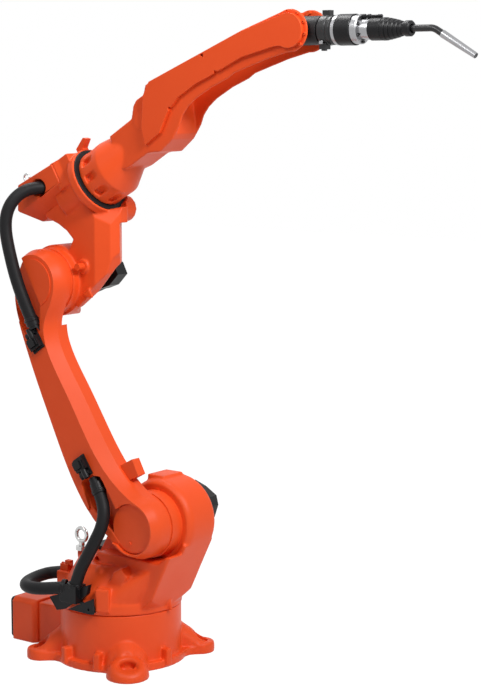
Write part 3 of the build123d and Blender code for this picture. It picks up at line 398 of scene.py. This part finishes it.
def addTurned(bm, profile, frameOf, steps=48):
    # profile holds (along z, radius) pairs
    ring = [bm.verts.new(frameOf @ Vector((radius, 0, along))) for along, radius in profile]
    edges = [bm.edges.new(pair) for pair in zip(ring, ring[1:])]
    bmesh.ops.spin(bm, geom=ring + edges, cent=frameOf.translation, axis=frameOf.col[2].to_3d().normalized(),
                   angle=2 * math.pi, steps=steps, use_merge=True)


def addPlate(bm, outline, low, high, frameOf):
    # an outline in a frame's x and y, solid from low to high along its z
    corners = [bm.verts.new(frameOf @ Vector((x, y, low))) for x, y in outline]
    made = bmesh.ops.extrude_face_region(bm, geom=[bm.faces.new(corners)])
    top = [item for item in made["geom"] if isinstance(item, bmesh.types.BMVert)]
    bmesh.ops.translate(bm, vec=frameOf.to_3x3() @ Vector((0, 0, high - low)), verts=top)


def addBlock(bm, size, place, frameOf):
    matrix = frameOf @ Matrix.Translation(place) @ Matrix.Diagonal((*size, 1))
    bmesh.ops.create_cube(bm, size=1, matrix=matrix)


# a bolt head's shape, as shares of its radius and its height
boltShares = {"socket": 0.5, "top": 0.88, "chamfer": 0.85, "bottom": 0.4}


def addCapBolt(bm, place, radius, height, frameOf):
    # a round socket head with a blind hole, standing along z
    seat = frameOf @ Matrix.Translation(place)
    socket = radius * boltShares["socket"]
    chamfer = height * boltShares["chamfer"]
    bottom = height * boltShares["bottom"]
    head = [(0, 0), (0, radius), (chamfer, radius), (height, radius * boltShares["top"]), (height, socket)]
    addTurned(bm, head, seat, steps=24)
    addTurned(bm, [(height, socket), (bottom, socket), (bottom, 0)], seat, steps=24)


def meshOf(name, build):
    bm = bmesh.new()
    build(bm)
    bmesh.ops.remove_doubles(bm, verts=bm.verts, dist=weld)
    bmesh.ops.recalc_face_normals(bm, faces=bm.faces)
    mesh = bpy.data.meshes.new(name)
    bm.to_mesh(mesh)
    bm.free()
    shadeByAngle(mesh, sharpAngles["piece"])
    return mesh


def roundEdges(piece, width, segments=3):
    bevel = piece.modifiers.new("roundEdges", "BEVEL")
    bevel.width = width
    bevel.segments = segments
    bevel.limit_method = "ANGLE"
    bevel.angle_limit = math.radians(sharpAngles["casting"])


def makePiece(name, finish, body, build, width=0.8 * mm):
    piece = showPiece(name, meshOf(name, build), finish, body)
    if width:
        roundEdges(piece, width, 2)
    return piece


def carve(mesh, build):
    # what build makes is cut out of the mesh
    holder = bpy.data.objects.new("carveHolder", mesh)
    cutter = bpy.data.objects.new("carveTool", meshOf("carveTool", build))
    for piece in (holder, cutter):
        scene.collection.objects.link(piece)
    cut = holder.modifiers.new("carve", "BOOLEAN")
    cut.operation = "DIFFERENCE"
    cut.solver = "EXACT"
    cut.object = cutter
    bpy.context.view_layer.update()
    carved = bpy.data.meshes.new_from_object(holder.evaluated_get(bpy.context.evaluated_depsgraph_get()))
    for piece in (holder, cutter):
        bpy.data.objects.remove(piece)
    return carved


# a crisp casting has its edges rounded
def roundCasting(node, name, finish, width, cuts=None):
    mesh = mergedNode(node)
    if cuts:
        mesh = carve(mesh, cuts)
    shadeByAngle(mesh, sharpAngles["casting"])
    piece = showPiece(name, mesh, finish, bodyOf[node])
    roundEdges(piece, width)
    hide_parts(node)
    return piece


# a sand casting's edges and inner corners run into each other softly
def softCasting(node, name, finish, grid, passes, extra=None, cuts=()):
    mesh = mergedNode(node)
    for cut in cuts:
        mesh = carve(mesh, cut)
    if extra:
        bm = bmesh.new()
        bm.from_mesh(mesh)
        extra(bm)
        bm.to_mesh(mesh)
        bm.free()
    for face in mesh.polygons:
        face.use_smooth = True
    piece = showPiece(name, mesh, finish, bodyOf[node])
    remesh = piece.modifiers.new("castSkin", "REMESH")
    remesh.mode = "VOXEL"
    remesh.voxel_size = grid
    remesh.use_smooth_shade = True
    smooth = piece.modifiers.new("softCorners", "SMOOTH")
    smooth.factor = 0.5
    smooth.iterations = passes
    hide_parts(node)
    return piece


def joinInto(bm, other):
    # the other bmesh's shape is added to bm
    spare = bpy.data.meshes.new("spare")
    other.to_mesh(spare)
    other.free()
    bm.from_mesh(spare)
    bpy.data.meshes.remove(spare)


# the front foot's dome round its bolt hole, leaning outwards, and its shoulder against the drum
footSettings = {
    "place": (167.5, -167.5), "lean": 24,
    "profile": [(-12, 26), (40, 26), (47, 31), (47, 40), (42, 50), (30, 58), (14, 62), (-12, 63)],
    "shoulderPlace": (113, -113, 0), "shoulderSize": (70, 70, 92),
    "underside": 1 * mm}


def baseExtra(bm):
    x, y = footSettings["place"]
    lean = Matrix.Rotation(math.radians(footSettings["lean"]), 4, (1, 1, 0))
    profile = footSettings["profile"]
    foot = bmesh.new()
    addTurned(foot, profile + profile[:1], floorFrame @ Matrix.Translation((x, y, 0)) @ lean)
    shoulder = floorFrame @ Matrix.Translation(footSettings["shoulderPlace"])
    shoulder = shoulder @ Matrix.Diagonal((*footSettings["shoulderSize"], 1))
    bmesh.ops.create_uvsphere(foot, u_segments=32, v_segments=16, radius=1, matrix=shoulder)
    bmesh.ops.remove_doubles(foot, verts=foot.verts, dist=weld)
    whole = foot.verts[:] + foot.edges[:] + foot.faces[:]
    cut = bmesh.ops.bisect_plane(foot, geom=whole, plane_co=(0, 0, footSettings["underside"]),
                                 plane_no=(0, 0, -1), clear_outer=True)
    rim = [item for item in cut["geom_cut"] if isinstance(item, bmesh.types.BMEdge)]
    bmesh.ops.edgenet_fill(foot, edges=rim)
    bmesh.ops.recalc_face_normals(foot, faces=foot.faces)
    joinInto(bm, foot)


# the turret's lower wall, from its skirt up to the flat near side, with the nub and the gusset on it
flareSettings = {
    "floor": 198, "radius": 179, "top": 302,
    "topOutline": [(-30, -93), (196, -95), (226, -70), (238, -30), (238, 60), (224, 84), (-30, 84)],
    "nub": [(60, 0), (60, 19), (112, 17), (128, 14), (132, 7), (132, 0)], "nubPlace": (26, 284, 0),
    "gusset": [(54, 226), (90, 222), (138, 284), (112, 306), (86, 292)], "gussetSpan": (60, 134)}


def turretExtra(bm):
    wall = bmesh.new()
    bmesh.ops.create_circle(wall, segments=48, radius=flareSettings["radius"] * mm,
                            matrix=Matrix.Translation((0, 0, flareSettings["floor"] * mm)))
    for x, y in flareSettings["topOutline"]:
        wall.verts.new((x * mm, y * mm, flareSettings["top"] * mm))
    bmesh.ops.convex_hull(wall, input=wall.verts)
    bmesh.ops.recalc_face_normals(wall, faces=wall.faces)
    joinInto(bm, wall)
    lumps = bmesh.new()
    nubFrame = sideFrame @ Matrix.Translation(flareSettings["nubPlace"])
    addTurned(lumps, flareSettings["nub"], nubFrame, steps=24)
    low, high = flareSettings["gussetSpan"]
    addPlate(lumps, flareSettings["gusset"], low, high, sideFrame)
    bmesh.ops.remove_doubles(lumps, verts=lumps.verts, dist=weld)
    bmesh.ops.recalc_face_normals(lumps, faces=lumps.faces)
    joinInto(bm, lumps)


# the shoulder dome: its faces give each rim's distance to the near side and the size of its round
domeSettings = {"centre": (165, 432), "radius": 125, "faces": {36: 28, -92: 12}, "lean": 26,
                "arcSteps": 8, "ahead": 4, "outside": 30}


def turretCuts(bm):
    # rings that round the dome's rims, kept above a leaning plane through its centre
    x, z = domeSettings["centre"]
    radius = domeSettings["radius"]
    for face, size in domeSettings["faces"].items():
        way = 1 if face > 0 else -1
        arc = []
        for step in range(domeSettings["arcSteps"] + 1):
            turn = math.radians(90 * step / domeSettings["arcSteps"])
            arc.append((face - way * size * (1 - math.sin(turn)), radius - size * (1 - math.cos(turn))))
        beyond = face + way * domeSettings["ahead"]
        outer = radius + domeSettings["outside"]
        profile = arc + [(beyond, radius - size), (beyond, outer), (face - way * size, outer), arc[0]]
        addTurned(bm, profile, sideFrame @ Matrix.Translation((x, z, 0)))
    bmesh.ops.remove_doubles(bm, verts=bm.verts, dist=weld)
    whole = bm.verts[:] + bm.edges[:] + bm.faces[:]
    lean = math.radians(domeSettings["lean"])
    down = Vector((-math.sin(lean), 0, -math.cos(lean)))
    middle = (x * mm, 0, z * mm)
    cut = bmesh.ops.bisect_plane(bm, geom=whole, plane_co=middle, plane_no=down, clear_outer=True)
    rim = [item for item in cut["geom_cut"] if isinstance(item, bmesh.types.BMEdge)]
    bmesh.ops.edgeloop_fill(bm, edges=rim)


stepSettings = {"size": (64, 52, 40), "place": (-154, -66, 267)}  # the rear platform's tall step, taken off


def stepCut(bm):
    addBlock(bm, stepSettings["size"], stepSettings["place"], floorFrame)


# what is cut off the elbow column's front and lower end, on a line slanting to the near side
columnSettings = {
    "across": (0.798, 0.602, 0), "along": (0.602, -0.798, 0), "reach": 260,
    "outline": [(7, 1292), (7, 1172), (-4, 1162), (-56, 1091), (-104, 1046), (-125, 1030), (-125, 900),
                (220, 900), (220, 1292)]}


def elbowCuts(bm):
    slant = frameMatrix((0, 0, 0), columnSettings["across"], columnSettings["along"])
    reach = columnSettings["reach"]
    addPlate(bm, columnSettings["outline"], -reach, reach, slant)


# what is cut off the forearm's lower edge, where its fork opens, and the notches in its near cover
forearmSettings = {
    "edge": [(508, -42), (541, -59), (598, -50), (640, -30), (663, -12), (690, -1), (725, 5), (790, 4),
             (860, -5), (923, -18), (1008, -34), (1060, -50), (1060, -140), (480, -140), (480, -60)],
    "edgeReach": 70,
    "fork": [(612, -48), (632, -8), (650, 40), (700, 60), (700, -140), (612, -140)], "forkReach": 44,
    "notches": [[(630, 8), (652, 18), (639, 31)], [(818, 20), (842, 22), (829, 35)],
                [(806, 96), (820, 94), (814, 84)]],
    "notchSpan": (48, 66)}


def forearmCuts(bm):
    reach = forearmSettings["edgeReach"]
    addPlate(bm, forearmSettings["edge"], -reach, reach, forearmFrame)


def forkCuts(bm):
    reach = forearmSettings["forkReach"]
    addPlate(bm, forearmSettings["fork"], -reach, reach, forearmFrame)


def coverCuts(bm):
    low, high = forearmSettings["notchSpan"]
    for notch in forearmSettings["notches"]:
        addPlate(bm, notch, low, high, forearmFrame)


# two screw holes in the stop block
stopHoles = {"ups": (146, 172), "side": 88, "profile": [(60, 0), (60, 4.5), (130, 4.5), (130, 0)]}


def armCuts(bm):
    ahead = Matrix.Rotation(math.radians(90), 4, "Y")
    for up in stopHoles["ups"]:
        hole = armFrame @ Matrix.Translation((0, up, stopHoles["side"])) @ ahead
        addTurned(bm, stopHoles["profile"], hole, steps=20)


crispSettings = {
    "lower_arm_casting": ("lowerArmBody", 3.5 * mm, armCuts),
    "roll_motor_housing": ("rollMotorCase", 4 * mm, None),
    "near_side_cover": ("nearCover", 1.5 * mm, coverCuts),
    "far_side_cover": ("farCover", 2 * mm, None),
    "connector_box": ("cableBox", 4 * mm, None),
}
for node, (name, width, cuts) in crispSettings.items():
    roundCasting(node, name, "orangePaint", width, cuts)
softSettings = {
    "base_casting": ("baseBody", 3 * mm, 10, baseExtra, ()),
    "turret_casting": ("turretBody", 3 * mm, 10, turretExtra, (turretCuts, stepCut)),
    "elbow_casting": ("elbowBody", 2.5 * mm, 5, None, (elbowCuts,)),
    "forearm_casting": ("forearmBody", 2.5 * mm, 9, None, (forearmCuts, forkCuts)),
}
for node, (name, grid, passes, extra, cuts) in softSettings.items():
    softCasting(node, name, "orangePaint", grid, passes, extra, cuts)
print("castings made", len(crispSettings) + len(softSettings))


# a hose is a tube on a NURBS route
def hosePiece(name, route, diameter):
    curve = bpy.data.curves.new(name + "Route", "CURVE")
    curve.dimensions = "3D"
    spline = curve.splines.new("NURBS")
    spline.points.add(len(route) - 1)
    for point, place in zip(spline.points, route):
        point.co = (place[0], place[1], place[2], 1)
    spline.order_u = 3
    spline.use_endpoint_u = True
    spline.resolution_u = 10
    curve.bevel_depth = diameter / 2
    curve.bevel_resolution = 8
    curve.use_fill_caps = True
    holder = bpy.data.objects.new(name + "Route", curve)
    scene.collection.objects.link(holder)
    mesh = bpy.data.meshes.new_from_object(holder)
    bpy.data.objects.remove(holder)
    mesh.name = name
    for face in mesh.polygons:
        face.use_smooth = True
    return showPiece(name, mesh, "hoseRubber", None)


hoseSettings = {
    "diameter": 0.037,
    "lower": [(0.038, -0.142, 0.537), (0.062, -0.149, 0.504), (0.078, -0.160, 0.466),
              (0.076, -0.172, 0.426), (0.058, -0.181, 0.386), (0.033, -0.186, 0.340),
              (0.005, -0.189, 0.292), (-0.011, -0.190, 0.2423)],
    "upper": [(-0.222, -0.066, 1.390), (-0.243, -0.100, 1.390), (-0.262, -0.131, 1.375),
              (-0.277, -0.155, 1.347), (-0.285, -0.168, 1.310), (-0.284, -0.172, 1.264),
              (-0.268, -0.172, 1.200), (-0.246, -0.172, 1.132), (-0.221, -0.166, 1.064),
              (-0.1955, -0.154, 0.9967)],
    "loop": [(-0.043, -0.191, 0.238), (-0.080, -0.208, 0.234), (-0.120, -0.228, 0.230),
             (-0.160, -0.228, 0.228), (-0.192, -0.210, 0.228), (-0.214, -0.166, 0.228),
             (-0.220, -0.116, 0.230), (-0.210, -0.072, 0.233), (-0.174, -0.050, 0.235)],
}
lowerHose = hosePiece("lowerHose", hoseSettings["lower"], hoseSettings["diameter"])
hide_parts("lower_hose")
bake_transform(lowerHose)
upperHose = hosePiece("upperHose", hoseSettings["upper"], hoseSettings["diameter"])
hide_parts("upper_hose")
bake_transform(upperHose)
loopHose = hosePiece("loopHose", hoseSettings["loop"], hoseSettings["diameter"])
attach(loopHose, "turret")
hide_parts("hose_loop")
print("hoses made")


# wrist and torch, by their distance ahead of the wrist joint
torchSettings = {
    "steps": 64,
    "clamp": [(72.5, 0), (72.5, 34), (74, 36), (78, 36), (78, 39), (79, 40), (99, 40), (100, 39), (100, 38),
              (103, 38), (104, 39), (112, 39), (113, 38), (118, 36), (118, 0)],
    "jaws": [((18, 14, 24), (0, 45, 88)), ((22, 16, 22), (-14, -42, 88)), ((10, 8, 12), (-16, -50, 88))],
    "insertSize": (9, 9, 12), "insertPlace": (-28, -32, 87),
    "collar": [(118.2, 0), (118.2, 33), (120, 33), (120, 39), (121, 40), (130, 40), (130, 0)],
    "isolator": [(130, 0), (130, 40), (131, 41), (177, 41), (178, 40), (178, 0)],
    "flange": [(178, 0), (178, 37), (179, 38), (196, 38), (198, 36), (198, 0)],
    "socket": [(198, 0), (198, 27), (236, 27), (238, 26), (238, 0)],
    "boot": [(226, 27), (228, 29.5), (262, 29.5), (264, 28), (266, 30), (275, 29.5), (277, 27), (279, 28.5),
             (287, 27.5), (289, 25), (291, 26.5), (299, 25), (301, 22.5), (303, 24), (310, 22.5), (312, 20),
             (314, 21), (320, 19.5), (322, 17), (328, 17), (329, 19.5), (331, 20.5), (345, 20.5), (348, 18),
             (348, 12), (340, 12), (340, 0)],
    "bolts": {"count": 6, "ring": 31.5, "radius": 4, "height": 4.5, "face": 198},
    "gas": [(190, 0), (190, 6.5), (206, 6.5), (207, 4), (214, 4), (214, 6), (222, 6), (223, 4), (244, 4),
            (245, 5), (256, 5), (258, 3), (258, 0)],
    "gasUp": 33,
    "tip": [(100, 0), (100, 6.2), (113, 6.2), (113, 3), (108, 3), (108, 0)],
    "tipPlace": (0, -15, 438), "tipBend": 30}


def turnedTool(name, finish, part, node):
    def build(bm):
        addTurned(bm, torchSettings[part], toolFrame, torchSettings["steps"])
    piece = makePiece(name, finish, "torch", build, 0)
    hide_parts(node)


turnedTool("toolCollar", "bareAluminium", "collar", "tool_collar")
turnedTool("torchIsolator", "blackPlastic", "isolator", "torch_isolator")
turnedTool("torchSocket", "bareAluminium", "socket", "torch_socket")
turnedTool("cableBoot", "blackPlastic", "boot", "cable_boot")
turnedTool("torchFlange", "bareAluminium", "flange", "torch_flange")


def toolClampShape(bm):
    addTurned(bm, torchSettings["clamp"], toolFrame, torchSettings["steps"])
    for size, place in torchSettings["jaws"]:
        addBlock(bm, size, place, toolFrame)


clampPiece = makePiece("toolClamp", "blackMetal", "torch", toolClampShape)
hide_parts("tool_clamp")


def clampInsertShape(bm):
    addBlock(bm, torchSettings["insertSize"], torchSettings["insertPlace"], toolFrame)


makePiece("clampInsert", "bareAluminium", "torch", clampInsertShape)


def flangeBolts(bm):
    setting = torchSettings["bolts"]
    for index in range(setting["count"]):
        turn = math.radians(360 * (index + 0.5) / setting["count"])
        place = (math.cos(turn) * setting["ring"], math.sin(turn) * setting["ring"], setting["face"])
        addCapBolt(bm, place, setting["radius"], setting["height"], toolFrame)


makePiece("flangeBolts", "blackMetal", "torch", flangeBolts, 0)


def gasFitting(bm):
    addTurned(bm, torchSettings["gas"], toolFrame @ Matrix.Translation((0, torchSettings["gasUp"], 0)), 24)


gasPiece = makePiece("gasFitting", "blackPlastic", "torch", gasFitting, 0)
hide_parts("gas_tube")

# bolts round the fork's tips, and the small lumps along its upper edges
forkSettings = {
    "end": 1092, "ring": 51, "turns": (-75, -40, -5, 30, 65, 100), "radius": 4.2, "height": 7, "face": 50,
    "lumps": ((1064, 53), (1088, 51), (1112, 44)), "lumpSize": (14, 9, 12), "lumpSide": 46}


def forkBolts(bm):
    for side in (1, -1):
        face = frameMatrix((0, 0, 0), forearmWay, (0, -side, 0))
        face.translation = forearmFrame.translation
        for turn in forkSettings["turns"]:
            angle = math.radians(turn)
            along = forkSettings["end"] + math.cos(angle) * forkSettings["ring"]
            up = side * math.sin(angle) * forkSettings["ring"]
            place = (along, up, forkSettings["face"])
            addCapBolt(bm, place, forkSettings["radius"], forkSettings["height"], face)
    for along, up in forkSettings["lumps"]:
        for side in (-1, 1):
            place = (along, up, side * forkSettings["lumpSide"])
            addBlock(bm, forkSettings["lumpSize"], place, forearmFrame)


makePiece("forkBolts", "orangePaint", "forearm", forkBolts, 0)


# the dark end inside the nozzle
def nozzleTip(bm):
    bend = Matrix.Rotation(math.radians(torchSettings["tipBend"]), 4, "X")
    addTurned(bm, torchSettings["tip"], toolFrame @ Matrix.Translation(torchSettings["tipPlace"]) @ bend, 24)


makePiece("nozzleTip", "blackMetal", "torch", nozzleTip, 0)
print("torch and fork bolts made")

# the elbow's motor, behind its column: an eight-sided flange and a round can
elbowMotorSettings = {
    "place": (-200, 1115.65, 0),
    "flange": [(-72, 0), (-72, 54), (-128, 54), (-132, 50), (-132, 0)],
    "can": [(-130, 0), (-130, 44), (-158, 44), (-162, 40), (-162, 0)]}


def elbowMotorShape(bm):
    seat = sideFrame @ Matrix.Translation(elbowMotorSettings["place"])
    addTurned(bm, elbowMotorSettings["flange"], seat, 8)
    addTurned(bm, elbowMotorSettings["can"], seat, 32)


elbowMotor = makePiece("elbowMotorCase", "motorBlack", "elbow", elbowMotorShape, 2 * mm)
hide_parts("elbow_motor")

# the black ring of the forearm's seal, by its distance along the roll axis
sealProfile = [(258, 60), (269.4, 60), (269.4, 96), (268, 98), (258, 98), (258, 60)]
sealRing = makePiece("rollSealRing", "hoseRubber", "elbow",
                     lambda bm: addTurned(bm, sealProfile, rollFrame, 72), 0)
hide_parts("roll_seal")

# connectors on the lower arm: stacked blocks, four corner bolts and a plug towards the hose
connectorSettings = {
    "places": {"lower": ("lower_hose_connector", (-78, 224, 150), 1),
               "upper": ("upper_hose_connector", (-72, 622, 150), -1)},
    "turn": 6,
    "blocks": [((48, 64, 5), (0, 0, 2)), ((40, 36, 14), (2, 8, 11)), ((26, 22, 10), (0, 8, 22)),
               ((8, 26, 5), (16, 6, 20)), ((38, 10, 8), (0, -22, 8))],
    "bolts": ((-19, 27, 4), (19, 27, 4), (-19, -27, 4), (19, -27, 4)), "boltSize": 3,
    "plug": [(0, 0), (0, 9), (30, 9), (30, 0)], "plugPlace": (6, -6, 12)}


def connectorShape(spot, flip):
    def build(bm):
        turn = Matrix.Rotation(math.radians(connectorSettings["turn"]), 4, "Z")
        seat = armFrame @ Matrix.Translation(spot) @ turn
        for size, (x, y, z) in connectorSettings["blocks"]:
            addBlock(bm, size, (x, flip * y, z), seat)
        for corner in connectorSettings["bolts"]:
            addCapBolt(bm, corner, connectorSettings["boltSize"], connectorSettings["boltSize"], seat)
        x, y, z = connectorSettings["plugPlace"]
        tip = Matrix.Rotation(math.radians(90 * flip), 4, "X")
        addTurned(bm, connectorSettings["plug"], seat @ Matrix.Translation((x, flip * y, z)) @ tip, 24)
    return build


for name, (node, spot, flip) in connectorSettings["places"].items():
    piece = makePiece(name + "Connector", "blackPlastic", "lower_arm", connectorShape(spot, flip))
    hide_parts(node)

# the outer wall beside the lower hose, as part of the arm
wallSettings = {
    "outline": [(-139, 150), (-136, 116), (-125, 73), (-98, 10), (-84, -29), (-60, -20), (-72, 18),
                (-100, 72), (-112, 116), (-113, 150)],
    "low": 76, "high": 141, "round": 4 * mm}


def pocketWallShape(bm):
    addPlate(bm, wallSettings["outline"], wallSettings["low"], wallSettings["high"], armFrame)


makePiece("pocketWall", "orangePaint", "lower_arm", pocketWallShape, wallSettings["round"])

# the shoulder motor's black cover on the far side, with a round boss and six bolts
motorSettings = {
    "outline": [(236, 457), (229, 485), (190, 508), (150, 522), (112, 508), (84, 478), (78, 432),
                (96, 388), (140, 364), (190, 378), (222, 418)],
    "low": -172, "high": -93,
    "boss": [(-170, 0), (-170, 52), (-176, 50), (-176, 20), (-180, 18), (-180, 0)], "bossPlace": (150, 440),
    "boltRing": 60, "boltSize": 5}


def shoulderMotorShape(bm):
    addPlate(bm, motorSettings["outline"], motorSettings["low"], motorSettings["high"], sideFrame)
    x, z = motorSettings["bossPlace"]
    addTurned(bm, motorSettings["boss"], sideFrame @ Matrix.Translation((x, z, 0)), 40)
    farFrame = frameMatrix((0, 0, 0), (1, 0, 0), (0, 1, 0))  # x ahead, y down, z to the far side
    size = motorSettings["boltSize"]
    for turn in range(0, 360, 60):
        angle = math.radians(turn)
        right = x + motorSettings["boltRing"] * math.cos(angle)
        down = -(z + motorSettings["boltRing"] * math.sin(angle))
        addCapBolt(bm, (right, down, -motorSettings["low"]), size, size, farFrame)


motorCover = makePiece("shoulderMotorCover", "motorBlack", "turret", shoulderMotorShape, 3 * mm)
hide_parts("shoulder_motor")

coverBoltSettings = {"place": (157, 389, 140), "radius": 5, "height": 4}  # on the arm's round shoulder cover


def coverBolt(bm):
    setting = coverBoltSettings
    addCapBolt(bm, setting["place"], setting["radius"], setting["height"], sideFrame)


makePiece("shoulderCoverBolt", "orangePaint", "lower_arm", coverBolt, 0)

# two blocks and three bolts on the rear platform
rearSettings = {
    "blocks": [((30, 26, 22), (-158, -64, 256)), ((20, 16, 12), (-148, -64, 272))],
    "bolts": ((-168, -70, 264), (-152, -70, 264), (-134, -70, 264)), "boltRadius": 4, "boltHeight": 7}


def rearLumps(bm):
    for size, place in rearSettings["blocks"]:
        addBlock(bm, size, place, floorFrame)
    for place in rearSettings["bolts"]:
        addCapBolt(bm, place, rearSettings["boltRadius"], rearSettings["boltHeight"], floorFrame)


makePiece("rearLumps", "orangePaint", "turret", rearLumps, 2 * mm)

# the clamp that holds both hoses: a ridged ring round each, a block and an ear
clampSettings = {
    "rings": (((-11, -190, 248), (0.12, 0, 0.99)), ((-47, -193, 239.5), (-0.9, -0.43, 0))),
    "profile": [(-5, 17), (-5, 22), (-3, 23.5), (-1, 22), (1, 22), (3, 23.5), (5, 22), (7, 23.5), (9, 22),
                (9, 17), (-5, 17)],
    "blockSize": (62, 46, 52), "blockPlace": (-22, -188, 226),
    "ear": [(2, 208), (2, 243), (14, 247), (42, 259), (34, 229), (14, 212)], "earSpan": (176, 192)}


def hoseClampShape(bm):
    for place, way in clampSettings["rings"]:
        ringFrame = frameMatrix(place, Vector(way).orthogonal(), way)
        addTurned(bm, clampSettings["profile"], ringFrame, 40)
    addBlock(bm, clampSettings["blockSize"], clampSettings["blockPlace"], floorFrame)
    low, high = clampSettings["earSpan"]
    addPlate(bm, clampSettings["ear"], low, high, sideFrame)


clampBody = makePiece("hoseClampBody", "blackPlastic", "turret", hoseClampShape, 2 * mm)
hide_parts("hose_clamp")

# the sleeves where the hoses meet the arm's connectors, each with its place, its way and its length
sleeveSettings = {
    "lowerHoseSleeve": ((45, -145, 530), (0.55, -0.17, -0.82), 22),
    "upperHoseSleeve": ((-199, -155.5, 1006), (-0.35, -0.15, 0.92), 14)}


def sleeveShape(place, way, length):
    profile = [(-length, 12), (-length, 20.5), (-2, 20.5), (0, 22.5), (4, 22.5), (6, 20.5), (9, 20.5),
               (11, 19), (11, 12), (-length, 12)]
    sleeveFrame = frameMatrix(place, Vector(way).orthogonal(), way)
    return lambda bm: addTurned(bm, profile, sleeveFrame, 40)


for name, (place, way, length) in sleeveSettings.items():
    makePiece(name, "blackPlastic", "lower_arm", sleeveShape(place, way, length), 0)
print("black pieces and bolts made")
